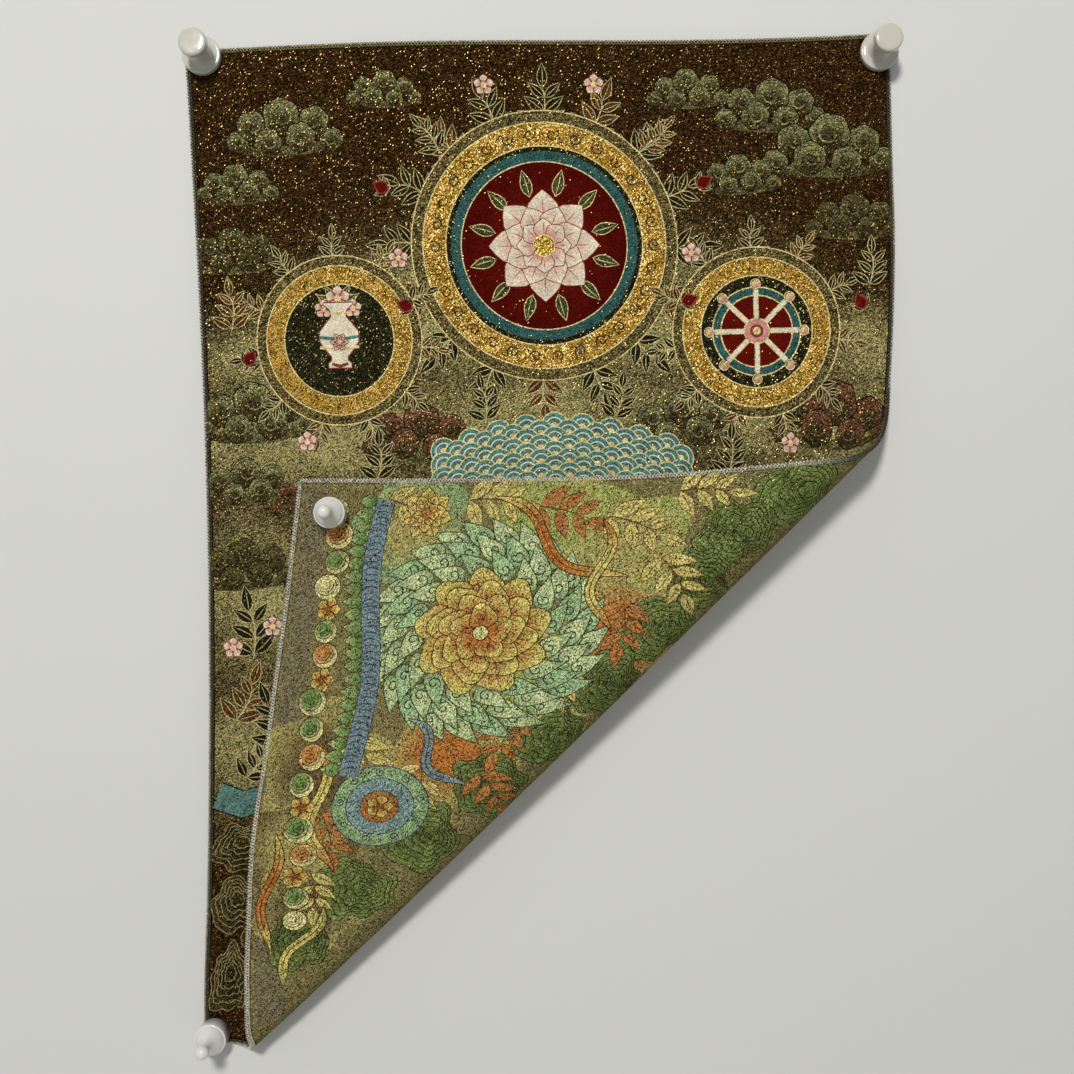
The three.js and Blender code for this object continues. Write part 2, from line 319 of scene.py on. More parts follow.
def lay(loop, yarn, rim=None, centre=None):
    """Paint the inside of a loop over all laid before, with one yarn that may fade to another at its rim.

    The fade follows the distance from a centre, which is the middle of the loop if none is given. The first
    loop is the cut itself, and the others stop short of its edge.
    """
    loop = np.asarray(loop, float)
    if shapes:
        loop = np.clip(loop, EDGE_CLEARANCE, (CUT_WIDTH - EDGE_CLEARANCE, CUT_HEIGHT - EDGE_CLEARANCE))
    centre = loop.mean(axis=0) if centre is None else np.asarray(centre, float)
    radius = np.linalg.norm(loop - centre, axis=1).max()
    shapes.append(Shape(loop, yarn, rim or yarn, centre, radius))


def place(loop, at, turn=0.0, size=1.0):
    """Scale a loop, turn it clockwise, as the cloth is seen, by an angle in degrees, and move it."""
    a = math.radians(turn)
    spin = np.array([[math.cos(a), math.sin(a)], [-math.sin(a), math.cos(a)]])
    return size * np.asarray(loop) @ spin + np.asarray(at, float)


def circle(radius, points=28):
    """Points at equal angles round a centre."""
    angle = np.linspace(0, 2 * np.pi, points, endpoint=False)
    return radius * np.stack([np.cos(angle), np.sin(angle)], axis=1)


def lumpy(radius, lobes, depth, points=30, phase=0.0):
    """A circle whose radius swells and shrinks by a sine, so many times round."""
    angle = np.linspace(0, 2 * np.pi, points, endpoint=False)
    return circle(radius, points) * (1 + depth * np.sin(lobes * angle + phase))[:, None]


def petal(length, width, belly=1.0, points=8):
    """A pointed petal along +u: its half width is a sine of the way along, its belly moved by a power."""
    way = np.linspace(0, 1, points)
    half = width / 2 * np.sin(np.pi * way**belly)
    upper = np.stack([length * way, half], axis=1)
    lower = np.stack([length * way, -half], axis=1)
    return np.concatenate([upper, lower[-2:0:-1]])


def ribbon(path, width, start=0.15, end=0.15):
    """A strip along a path: half its width to each side, narrowed to a share of it at either end."""
    path = np.asarray(path, float)
    heading = np.gradient(path, axis=0)
    heading /= np.linalg.norm(heading, axis=1, keepdims=True) + 1e-9
    side = np.stack([-heading[:, 1], heading[:, 0]], axis=1)
    way = np.linspace(0, 1, len(path))
    taper = np.minimum(1, np.minimum(start + way * 5, end + (1 - way) * 5))
    offset = side * (width / 2 * taper)[:, None]
    return np.concatenate([path + offset, (path - offset)[::-1]])


def inset(loop, depth):
    """Draw a loop in: each point moves inwards, square to the chord between its two neighbours."""
    chord = np.roll(loop, -1, axis=0) - np.roll(loop, 1, axis=0)
    inward = np.stack([-chord[:, 1], chord[:, 0]], axis=1)
    inward /= np.linalg.norm(inward, axis=1, keepdims=True) + 1e-9
    ahead = np.roll(loop, -1, axis=0)
    area = np.sum(loop[:, 0] * ahead[:, 1] - loop[:, 1] * ahead[:, 0])
    return loop + np.sign(area) * depth * inward


def outlined(loop, fill, line, weight=0.7, rim=None, centre=None):
    """Paint a loop in its outline's yarn and, drawn in by the outline's weight, in its fill."""
    lay(loop, line)
    lay(inset(loop, weight), fill, rim, centre)


def unit_circle(degrees):
    """Points of a unit circle at angles in degrees, which run clockwise as the cloth is seen."""
    angle = np.radians(degrees)
    return np.stack([np.cos(angle), np.sin(angle)], axis=1)


def spiral(radius, turns, start=0.0, points=22, inner=0.12):
    """A path that winds in from a radius to a share of it, by equal steps of angle."""
    way = np.linspace(0, 1, points)
    angle = math.radians(start) + 2 * np.pi * turns * way
    reach = radius * (1 - (1 - inner) * way)
    return np.stack([reach * np.cos(angle), reach * np.sin(angle)], axis=1)


def curve(start, middle, end, points=14):
    """A bend through two ends, pulled towards a middle point, by the quadratic Bezier formula."""
    way = np.linspace(0, 1, points)[:, None]
    start, middle, end = (np.asarray(p, float) for p in (start, middle, end))
    return (1 - way) ** 2 * start + 2 * way * (1 - way) * middle + way**2 * end


# %% [markdown]
# ## Clouds, leaves, flowers and other ornaments
#
# All are stock ornaments of woven and painted hangings: scrolled clouds, leaf sprays, lotus and peony
# heads, wheels, jewels, boulders and scale waves. Each is a function that lays its loops at a place on the
# cut.

# %% Clouds and leaves
# Puffs of one cloud bank: place along it, place down it, radius, way that the scroll winds
CLOUD_PUFFS = [
    (-33, 5, 8, 1),
    (34, 5, 8.5, -1),
    (-22, -6, 11, 1),
    (22, -8, 11, -1),
    (-1, -12, 13.5, 1),
    (12, 3, 11, -1),
    (-11, 6, 10, 1),
]


def puff(centre, radius, wind, light):
    """One scrolled puff: a lumpy disc, dark below and pale and hatched along its upper rim, with a curl.

    The disc fades with the distance from a point below its centre. The curl winds in round the centre for
    one turn.
    """
    rim = lumpy(radius, 6, 0.05, 22, radius)
    lay(centre + rim, "cloud line")
    lay(centre + 0.94 * rim, "cloud", light, centre + (0, 0.5 * radius))
    angle = np.linspace(190, 600, 18)
    reach = np.interp(angle, (190, 380, 600), (0.6, 0.5, 0.14))
    scroll = centre + (radius * reach)[:, None] * unit_circle(angle) * (wind, 1)
    lay(ribbon(scroll, 0.07 * radius + 0.25), "cloud mid", light)
    for share in (0.74, 0.86):
        hatch = centre + share * radius * unit_circle(np.linspace(-165, -50, 7)) * (wind, 1)
        lay(ribbon(hatch, 0.03 * radius + 0.12), "cloud")


def cloud(at, size=1.0, flip=1, light="cloud light"):
    """A bank of scrolled puffs over a streak of haze, mirrored if flip is -1."""
    at = np.asarray(at, float)
    streak = curve((-38 * flip, 10), (4 * flip, 17), (46 * flip, 5), 10)
    lay(ribbon(streak * size + at, 7 * size, 0.1, 0.1), "cloud mid", "ground")
    for along_bank, down, radius, wind in CLOUD_PUFFS:
        puff(at + size * np.array([flip * along_bank, down]), size * radius, wind * flip, light)


def leaf(at, turn, length, fill="leaf", line="leaf line"):
    """One pointed leaf with its midrib, lying from its foot in the direction of turn."""
    outlined(place(petal(length, 0.44 * length, 0.8, 6), at, turn), fill, line, 0.5)
    rib = curve((0.05 * length, 0), (0.5 * length, 0.04 * length), (0.85 * length, 0), 4)
    lay(ribbon(place(rib, at, turn), 0.5), line)


def leaf_spray(at, turn, length, pairs=3, bend=0.18, fill="leaf", line="leaf line"):
    """A bent stem with leaves in pairs, each pair shorter than the one below, and one leaf at the tip."""
    stem = curve((0, 0), (0.5 * length, bend * length), (0.72 * length, 0.4 * bend * length), 7)
    lay(ribbon(place(stem, at, turn), 0.8), line)
    for i in range(pairs):
        way = (i + 0.4) / pairs * 0.7
        foot = np.array([np.interp(way * length, stem[:, 0], stem[:, axis]) for axis in (0, 1)])
        size = 0.5 * length * (1 - 0.45 * way)
        for side in (-1, 1):
            leaf(place(foot[None], at, turn)[0], turn + side * (58 - 20 * way), size, fill, line)
    leaf(place(stem[-1][None], at, turn)[0], turn, 0.42 * length, fill, line)


# %% Flowers
def lotus(at, radius, petals=8, tip="ivory", base="blush", line="rose"):
    """A lotus from above: three rings of petals that pale towards their tips, and a seed head."""
    at = np.asarray(at, float)
    for ring, (size, width) in enumerate([(1.0, 0.62), (0.74, 0.5), (0.5, 0.38)]):
        for i in range(petals):
            turn = (i + 0.5 * (ring % 2)) * 360 / petals
            shape = place(petal(radius * size, radius * width, 1.35, 9), at, turn)
            outlined(shape, base, line, 0.55, tip, at)
            vein = np.array([[0.5, 0], [0.66, 0], [0.86, 0]]) * radius * size
            lay(ribbon(place(vein, at, turn), 0.55), line)
    outlined(circle(0.2 * radius, 18) + at, "gold", "gold line", 0.6)


def peony(at, radius, line="petal line"):
    """A peony from above: four rings of broad scalloped petals that pale outwards, each ring turned on."""
    at = np.asarray(at, float)
    for ring, (size, count) in enumerate([(1.0, 9), (0.78, 8), (0.57, 7), (0.36, 5)]):
        for i in range(count):
            turn = (i + 0.5 * (ring % 2)) * 360 / count + 11 * ring
            shape = lumpy(0.31 * radius * (0.55 + 0.45 * size), 3, 0.12, 20, 0.5)
            middle = place([[0.74 * radius * size, 0]], at, turn)[0]
            foot = place([[0.42 * radius * size, 0]], at, turn)[0]
            outlined(place(shape, middle, turn), "petal deep", line, 0.65, "petal", foot)
            for side in (-1, 0, 1):
                fold = curve((0.55, 0), (0.72, 0.07 * side), (0.9, 0.16 * side), 4) * radius * size
                lay(ribbon(place(fold, at, turn), 0.6), line)
    outlined(circle(0.13 * radius, 14) + at, "jewel cream", line, 0.6)


def blossom(at, radius, fill="blush", tip="ivory", line="rose"):
    """A small five-petalled flower."""
    for i in range(5):
        outlined(place(petal(radius, 0.85 * radius, 1.5, 6), at, 72 * i - 90), fill, line, 0.45, tip, at)
    lay(circle(0.28 * radius, 10) + np.asarray(at, float), "gold line")


def bud(at, turn, length):
    """A red bud between two small leaves."""
    for side in (-42, 42):
        leaf(at, turn + side, 0.9 * length)
    outlined(place(petal(length, 0.75 * length, 0.8, 8), at, turn), "red", "rose", 0.9)


# %% Curls, jewels, boulders and waves
def curl(at, turn, size, line="flame line", weight=0.9):
    """A drawn scroll: one line that winds in, with a short tail."""
    lay(ribbon(place(spiral(size, 1.3, 40, 15, 0.15), at, turn), weight, 0.4, 0.6), line)


def jewel(at, radius, fill, line="petal line"):
    """A round jewel, pale at its rim, with three crescents drawn on it by rings off its centre."""
    at = np.asarray(at, float)
    outlined(circle(radius, 22) + at, fill, line, 0.55, "jewel cream", at + np.array([0.25, 0.2]) * radius)
    for share in (0.74, 0.5, 0.28):
        path = share * radius * unit_circle(np.linspace(120, 330, 12))
        lay(ribbon(path + at + 0.12 * radius, 0.55), line)


def boulder(at, width, height, seed, rings=5, fill="rock", light="rock light", line="rock line"):
    """Contour lines of a boulder: one uneven loop, drawn smaller and higher each time."""
    at = np.asarray(at, float)
    draw = np.random.default_rng(seed)
    angle = np.linspace(0, 2 * np.pi, 34, endpoint=False)
    uneven = sum(draw.uniform(0.04, 0.1) * np.sin(k * angle + draw.uniform(0, 6)) for k in (2, 3, 5, 8))
    loop = np.stack([width / 2 * np.cos(angle), height / 2 * np.sin(angle)], axis=1) * (1 + uneven)[:, None]
    for ring in range(rings):
        share = 1 - 0.9 * ring / rings
        drawn = loop * share + at - np.array([0, 0.16 * height * (1 - share)])
        outlined(drawn, fill, line, 0.55, light)


def scale_waves(low, high, radius, crest=0.0):
    """Rows of overlapping ringed discs between two corners, the middle ones raised by a crest."""
    rings = [(1, "gold line"), (0.91, "teal"), (0.64, "ivory"), (0.55, "stream"), (0.26, "gold line")]
    for row in range(int((high[1] - low[1]) / (0.5 * radius))):
        for column in range(int((high[0] - low[0]) / (2 * radius)) + 1):
            u = low[0] + (2 * column + row % 2) * radius
            mound = crest * math.cos(math.pi * ((u - low[0]) / (high[0] - low[0]) - 0.5))
            for share, yarn in rings:
                lay(circle(share * radius, 18) + (u, low[1] + 0.5 * row * radius - mound), yarn)


def halo(at, rings):
    """Concentric discs from the outside in, each with its radius, its yarn and the yarn of its rim."""
    for radius, yarn, *rim in rings:
        lay(circle(radius, max(18, int(1.4 * radius))) + np.asarray(at, float), yarn, *rim)


print("ornaments ready")

# %% [markdown]
# ## The design
#
# The upper half, which shows its face, has a dark sky with scrolled clouds, one large roundel with a lotus,
# and two smaller ones with a wheel and a vase. The lower right half, which shows its reverse, has a peony
# in a ring of tongues, boulders, leaf sprays, scarves and a string of jewels. It is a stock design of this
# kind, laid out for this panel.

# %% Edge, border and clouds
def rounded_cut(margin, corner, step=4.0):
    """Loop of the cut drawn in by a margin, with round corners, its points a step apart."""
    half = np.array([CUT_WIDTH, CUT_HEIGHT]) / 2 - margin - corner
    arcs = []
    for quarter, (sign_u, sign_v) in enumerate([(1, -1), (1, 1), (-1, 1), (-1, -1)]):
        angle = np.radians(np.linspace(-90, 0, 5) + 90 * quarter)
        bend = corner * np.stack([np.cos(angle), np.sin(angle)], axis=1)
        arcs.append(bend + half * (sign_u, sign_v))
    loop = np.concatenate(arcs)
    ahead = np.roll(loop, -1, axis=0)
    counts = np.maximum(1, np.round(np.linalg.norm(ahead - loop, axis=1) / step)).astype(int)
    sides = [a + (b - a) * np.arange(n)[:, None] / n for a, b, n in zip(loop, ahead, counts)]
    return np.concatenate(sides) + (CUT_WIDTH / 2, CUT_HEIGHT / 2)


CORNER_ROUND = 2.5
HEM_WIDTH = 3.2
# Number of the loop that is the ground: the one laid second
GROUND_SHAPE = 1
lay(rounded_cut(0, CORNER_ROUND), "hem")
lay(rounded_cut(HEM_WIDTH, 0.5), "ground")
lay([(70, 574), (417, 574), (417, 589), (70, 589)], "border")

# Cloud banks: u, v, size, way that the tail runs, and the yarn of their pale rims
CLOUDS = [
    (56, 52, 0.85, 1, "cloud light"),
    (118, 30, 0.55, -1, "cloud light"),
    (26, 84, 0.6, 1, "cloud light"),
    (300, 32, 0.6, 1, "cloud light"),
    (350, 44, 0.8, -1, "cloud light"),
    (384, 70, 0.95, -1, "cloud light"),
    (330, 84, 0.6, 1, "cloud light"),
    (398, 112, 0.7, -1, "cloud mid"),
    (22, 124, 0.7, 1, "cloud mid"),
    (30, 222, 0.9, 1, "cloud light"),
    (132, 236, 0.85, -1, "cloud rose"),
    (292, 232, 0.85, 1, "cloud light"),
    (388, 228, 0.95, -1, "cloud rose"),
    (24, 262, 0.7, 1, "cloud light"),
    (62, 272, 0.6, -1, "cloud rose"),
    (22, 312, 0.75, 1, "cloud mid"),
]
for u, v, size, flip, light in CLOUDS:
    cloud((u, v), size, flip, light)
print("loops so far:", len(shapes))

# %% Large roundel
ROUNDEL = np.array([211.0, 122.0])
for i in range(16):
    turn = 22.5 * i
    foot = place([[68, 0]], ROUNDEL, turn)[0]
    leaf_spray(foot, turn, 36, 3, 0.15, "leaf brown" if i % 3 == 1 else "leaf")
halo(ROUNDEL, [
    (81, "gold line"), (80.3, "ground", "earth light"), (74, "gold line"), (73.3, "gold", "gold deep"),
    (60, "gold line"), (59.3, "deep"), (56.5, "teal", "teal deep"), (50.7, "gold line"),
    (50, "red", "red deep"),
])
for turn in range(0, 360, 12):
    curl(place([[66.7, 0]], ROUNDEL, turn)[0], turn, 4.2, "earth" if turn % 36 else "teal line", 0.9)
for turn in range(15, 360, 30):
    leaf(place([[30, 0]], ROUNDEL, turn)[0], turn, 17, "leaf green", "gold line")
lotus(ROUNDEL, 34, 8)

# %% Two smaller roundels
WHEEL = np.array([338.0, 176.0])
VASE = np.array([84.0, 176.0])
SMALL_ROUNDEL = [
    (51, "gold line"), (50.3, "ground", "earth light"), (45, "gold line"), (44.3, "gold", "gold deep"),
    (34, "gold line"), (33.3, "deep"),
]
for centre in (WHEEL, VASE):
    for i in range(11):
        turn = 8 + 360 * i / 11
        foot = place([[42, 0]], centre, turn)[0]
        leaf_spray(foot, turn, 25, 3, -0.15, "leaf brown" if i % 3 == 0 else "leaf")
    halo(centre, SMALL_ROUNDEL)

halo(WHEEL, [(27, "gold line"), (26.2, "teal", "teal deep"), (22, "gold line"), (21.2, "red")])
for turn in range(0, 360, 45):
    spoke = place([[4, 0], [10, 0], [16, 0], [25, 0]], WHEEL, turn)
    lay(ribbon(spoke, 3.2, 1, 1), "gold line")
    lay(ribbon(spoke, 2.0, 1, 1), "ivory")
    jewel(place([[28.5, 0]], WHEEL, turn)[0], 3.2, "blush", "gold line")
halo(WHEEL, [(8, "gold line"), (7.2, "blush"), (4, "rose"), (2.4, "gold line")])

VASE_FOOT = 17.0
# Vase outline: height above the foot, half width
VASE_SECTION = [
    (0, 7), (3, 8), (6, 4.6), (10, 8), (16, 12.4), (22, 12.6), (28, 8), (31, 5), (35, 5.6), (38, 9.5),
    (40, 9),
]
heights, halves = np.array(VASE_SECTION, float).T
rise = np.linspace(0, heights[-1], 24)
right_side = np.stack([np.interp(rise, heights, halves), VASE_FOOT - rise], axis=1)
vase = np.concatenate([right_side, (right_side * (-1, 1))[::-1]]) + VASE
for turn in (-150, -120, -90, -60, -30):
    leaf(VASE + (0, -20), turn, 15, "leaf green", "gold line")
blossom(VASE + (0, -25), 8)
blossom(VASE + (-9, -19), 6)
blossom(VASE + (9, -19), 6)
outlined(vase, "ivory", "rose", 0.7)
for level, half, yarn in ((-17, 5, "gold line"), (-2, 12, "teal"), (4, 12, "gold line"), (14, 5, "rose")):
    bar = np.array([[-half, level], [0, level + 1.5], [half, level]]) + VASE
    lay(ribbon(bar, 2.2, 0.8, 0.8), yarn)
lotus(VASE + (0, 1), 6, 6)
print("loops so far:", len(shapes))

# %% Waves, buds and the strip at the left
scale_waves((146, 244), (282, 292), 8.5, 14)
# Buds: u, v, direction
BUDS = [
    (118, 88, -150), (304, 88, -30), (130, 158, 200), (293, 158, -20), (26, 190, -60), (404, 164, -120),
]
for u, v, turn in BUDS:
    bud((u, v), turn, 11)
# Leaf sprays: u, v, direction, length
SPRAYS = [
    (26, 366, -100, 40), (48, 378, -60, 34), (14, 404, -70, 36), (42, 420, -110, 38), (20, 438, -60, 30),
    (18, 170, -95, 30), (406, 152, -90, 28), (150, 66, -130, 26), (272, 66, -50, 26),
    (172, 228, -100, 28), (250, 228, -80, 28), (58, 330, -80, 30), (104, 262, -90, 30), (320, 262, -90, 30),
]
for i, (u, v, turn, length) in enumerate(SPRAYS):
    leaf_spray((u, v), turn, length, 3, 0.18, "leaf brown" if i % 3 == 2 else "leaf")
# Blossoms: u, v
BLOSSOMS = [
    (38, 346), (14, 358), (52, 402), (178, 26), (244, 26), (122, 128), (300, 128), (62, 236), (360, 240),
]
for u, v in BLOSSOMS:
    blossom((u, v), 6.5)
stream = np.array([(5, 446), (20, 452), (34, 448), (50, 456), (70, 452)], float)
lay(ribbon(stream, 17, 1, 1), "cloud line")
lay(ribbon(stream, 15.6, 1, 1), "stream", "teal deep", (16, 444))
# Dark boulders at the lower left: u, v, width, height
ROCKS = [
    (20, 478, 34, 30), (48, 492, 34, 40), (18, 512, 30, 34), (42, 534, 36, 40), (16, 556, 26, 40),
    (46, 574, 36, 24),
]
for seed, (u, v, width, height) in enumerate(ROCKS):
    boulder((u, v), width, height, seed)
print("loops so far:", len(shapes))

# %% The turned corner: ground patches, boulders and leaf sprays
FACE_SHAPES = len(shapes)
# Patches of earth and haze: u, v, radius, yarn, yarn of the rim
PATCHES = [
    (392, 520, 34, "earth light", "flame deep"), (402, 440, 34, "leaf green", "earth light"),
    (240, 556, 40, "earth", "earth light"), (190, 566, 30, "earth light", "earth"),
    (150, 560, 30, "earth", "earth light"), (250, 484, 34, "petal deep", "earth light"),
    (376, 392, 38, "earth light", "leaf green"), (320, 396, 36, "petal deep", "earth light"),
    (280, 440, 36, "leaf green", "earth light"),
]
for i, (u, v, radius, fill, rim) in enumerate(PATCHES):
    lay(lumpy(radius, 5, 0.14, 40, i) + (u, v), fill, rim)
# Green boulders along the fold: u, v, width, height
FOLD_ROCKS = [
    (404, 300, 44, 46), (380, 334, 44, 40), (352, 352, 40, 34), (322, 374, 46, 40), (288, 402, 44, 40),
    (256, 432, 46, 42), (226, 464, 44, 40), (194, 500, 46, 42), (160, 536, 44, 40), (128, 566, 44, 34),
]
for seed, (u, v, width, height) in enumerate(FOLD_ROCKS):
    boulder((u, v), width, height, 20 + seed, 6)
# Leaf sprays of the turned corner: u, v, direction, length
CORNER_SPRAYS = [
    (408, 490, -100, 46), (404, 446, -110, 46), (398, 404, -120, 46), (372, 374, -160, 42),
    (344, 392, 170, 40), (410, 366, -100, 40), (306, 420, 150, 40), (276, 452, 160, 40),
    (246, 500, 170, 40), (262, 540, -160, 44), (216, 556, -170, 40), (176, 560, 180, 36),
    (410, 540, -120, 38), (236, 470, 200, 36),
]
for i, (u, v, turn, length) in enumerate(CORNER_SPRAYS):
    leaf_spray((u, v), turn, length, 3, 0.15, "leaf brown" if i % 3 == 1 else "leaf")
print("loops so far:", len(shapes))

# %% The turned corner: peony in a ring of tongues, and scarves
def tongue(at, turn, size, fill):
    """A bent teardrop that starts at a point and leans towards turn, with a scroll in its belly."""
    body = petal(2.3 * size, 1.35 * size, 0.6, 9)
    body[:, 1] += 0.16 * body[:, 0] ** 2 / size
    outlined(place(body, at, turn), fill, "flame line", 0.6, "flame deep")
    scroll = spiral(0.46 * size, 1.25, 60, 12, 0.15) + (0.78 * size, 0.08 * size)
    lay(ribbon(place(scroll, at, turn), 0.8, 0.4, 0.6), "flame line")


def scarf(start, end, sway, width, fill, rim, line="petal line"):
    """A flying scarf: a band between two places that sways from side to side as a sine."""
    start, end = np.asarray(start, float), np.asarray(end, float)
    way = np.linspace(0, 1, 22)[:, None]
    side = np.array([start[1] - end[1], end[0] - start[0]]) / np.linalg.norm(end - start)
    path = start + (end - start) * way + side * sway * np.sin(2 * np.pi * 1.2 * way)
    outlined(ribbon(path, width, 0.2, 0.1), fill, line, 0.6, rim)
    lay(ribbon(path[2:-3], 0.6), line)


PEONY = np.array([326.0, 470.0])
for radius, number, size in ((53, 24, 10.5), (44, 20, 10.5), (34, 16, 10)):
    for i in range(number):
        turn = 360 * (i + 0.5 * (number % 8 == 4)) / number
        tongue(place([[radius, 0]], PEONY, turn)[0], turn + 32, size, "flame pale" if i % 3 else "flame")
peony(PEONY, 38)
# Scarves: start, end, sway, width, fill and rim
SCARVES = [
    ((410, 470), (352, 392), 7, 7, "petal deep", "petal"),
    ((396, 404), (322, 404), 6, 6, "petal", "petal deep"),
    ((256, 560), (172, 552), 6, 7, "petal", "petal deep"),
    ((272, 508), (224, 480), 6, 6, "stream", "teal"),
    ((200, 580), (120, 584), 4, 6, "petal deep", "petal"),
    ((150, 552), (96, 578), 4, 6, "petal", "leaf green"),
]
for start, end, sway, width, fill, rim in SCARVES:
    scarf(start, end, sway, width, fill, rim)
MEDALLION = np.array([216.0, 522.0])
halo(MEDALLION, [
    (27, "teal line"), (26.3, "flame", "flame deep"), (19, "teal line"), (18.4, "stream", "teal"),
    (11, "teal line"), (10.4, "earth", "petal deep"),
])
for turn in range(0, 360, 40):
    curl(place([[22.6, 0]], MEDALLION, turn)[0], turn, 2.8, "teal line", 0.7)
blossom(MEDALLION, 8, "petal deep", "petal", "petal line")
lotus((400, 512), 17, 7, "petal", "petal deep", "petal line")
print("loops so far:", len(shapes))

# %% The turned corner: band, lobes and jewels
band = np.stack([np.linspace(408, 236, 44), 538 + 4 * np.sin(np.linspace(0, 7, 44))], axis=1)
lay(ribbon(band, 12, 1, 1), "teal line")
lay(ribbon(band, 10.8, 1, 1), "stream")
for u, v in band[1:-1]:
    lay(ribbon(curve((u, v - 4.6), (u + 3, v), (u, v + 4.6), 5), 0.8, 0.6, 0.6), "teal line")
for u, v in band[::2]:
    lobe = place(petal(13, 9, 0.7, 8), (u, v + 5), 90)
    outlined(lobe, "jewel green", "cloud line", 0.6, "cloud light", (u, v + 5))
# String of jewels along the bottom edge: u, radius, yarn
JEWELS = [
    (402, 8, "jewel green"), (386, 9, "jewel orange"), (369, 8, "jewel green"), (353, 8.5, "jewel cream"),
    (325, 7.5, "jewel green"), (310, 8, "jewel orange"), (281, 9, "jewel green"), (264, 8, "jewel green"),
    (247, 8.5, "jewel orange"), (230, 8, "jewel green"), (202, 9, "jewel green"), (185, 8, "jewel orange"),
    (156, 7.5, "jewel green"), (141, 7, "jewel cream"),
]
for i, (u, radius, yarn) in enumerate(JEWELS):
    jewel((u, 566 + 2.5 * math.cos(2 * i)), radius, yarn)
for u, v in [(339, 566), (295, 564), (216, 566), (171, 568)]:
    blossom((u, v), 8, "petal deep", "petal", "petal line")
print("loops in the design:", len(shapes), "points:", sum(len(shape.loop) for shape in shapes))

# %% [markdown]
# ## From the drawing to one mesh
#
# A constrained Delaunay triangulation takes every loop as a line that triangles may not cross, so the edges
# of the design stay sharp without a picture. Extra points between the loops let the cloth bend, closest
# where it goes round the fold. Each triangle then takes the yarn of the last loop that its middle lies in.

# %% Points for bending, and which shape lies on top
LATTICE_STEP = 8.0
ROLL_ZONE = (-34.0, 62.0)
ROLL_STEP_ACROSS = 3.0
LONGEST_LINE = 6.0
PAST_FOLD_ENDS = 30.0
LATTICE_MARGIN = 9.0
POINT_CLEARANCE = 1.5
TESTS_AT_ONCE = 1_000_000


def split_long(loop):
    """Add points to a loop so that none of its lines is longer than the longest allowed."""
    ahead = np.roll(loop, -1, axis=0)
    counts = np.ceil(np.linalg.norm(ahead - loop, axis=1) / LONGEST_LINE).astype(int)
    counts = np.maximum(counts, 1)
    start = np.repeat(np.cumsum(counts) - counts, counts)
    way = (np.arange(counts.sum()) - start) / np.repeat(counts, counts)
    return np.repeat(loop, counts, axis=0) + np.repeat(ahead - loop, counts, axis=0) * way[:, None]


def bend_points():
    """A staggered lattice on the flat parts, and rows along the fold where the cloth goes round it."""
    rows = np.arange(LATTICE_MARGIN, CUT_HEIGHT - LATTICE_MARGIN + 1, LATTICE_STEP)
    columns = np.arange(LATTICE_MARGIN, CUT_WIDTH - LATTICE_MARGIN + 1, LATTICE_STEP)
    v, u = np.meshgrid(rows, columns, indexing="ij")
    u = u + LATTICE_STEP / 2 * (np.arange(len(rows)) % 2)[:, None]
    s = fold_coordinates(u, v)[1]
    flat = (s < ROLL_ZONE[0]) | (s > ROLL_ZONE[1])
    steps_along = np.arange(-PAST_FOLD_ENDS, fold_length + PAST_FOLD_ENDS, LATTICE_STEP)
    t, s = np.meshgrid(steps_along, np.arange(*ROLL_ZONE, ROLL_STEP_ACROSS))
    roll_u = fold_low[0] + CUT_WIDTH / 2 + t * along[0] + s * across[0]
    roll_v = fold_low[1] + t * along[1] + s * across[1]
    points = np.concatenate([np.stack([u[flat], v[flat]], 1), np.stack([roll_u.ravel(), roll_v.ravel()], 1)])
    clear = np.minimum(points, (CUT_WIDTH, CUT_HEIGHT) - points).min(axis=1)
    return points[clear > POINT_CLEARANCE]


def inside(points, loop):
    """Which points a loop holds: those from which a line to the right crosses it an odd number of times."""
    ahead = np.roll(loop, -1, axis=0)
    u, v = points[:, 0, None], points[:, 1, None]
    spans = (loop[:, 1] > v) != (ahead[:, 1] > v)
    rise = ahead[:, 1] - loop[:, 1] + 1e-12
    crossing = loop[:, 0] + (v - loop[:, 1]) / rise * (ahead[:, 0] - loop[:, 0])
    return (spans & (crossing > u)).sum(axis=1) % 2 == 1


def top_shape(points, drawn_shapes, own=None):
    """Number of the last shape that holds each point, or -1 if none does.

    With own, the number of each point's own shape, only later shapes count.
    """
    found = np.full(len(points), -1)
    order = np.argsort(points[:, 0])
    sorted_u = points[order, 0]
    for number, shape in enumerate(drawn_shapes):
        loop = shape.loop
        low, high = loop.min(axis=0), loop.max(axis=0)
        first, last = np.searchsorted(sorted_u, (low[0], high[0]))
        near = order[first:last]
        near = near[(points[near, 1] > low[1]) & (points[near, 1] < high[1])]
        if own is not None:
            near = near[own[near] < number]
        for part in np.array_split(near, 1 + near.size * len(loop) // TESTS_AT_ONCE):
            found[part[inside(points[part], loop)]] = number
    return found


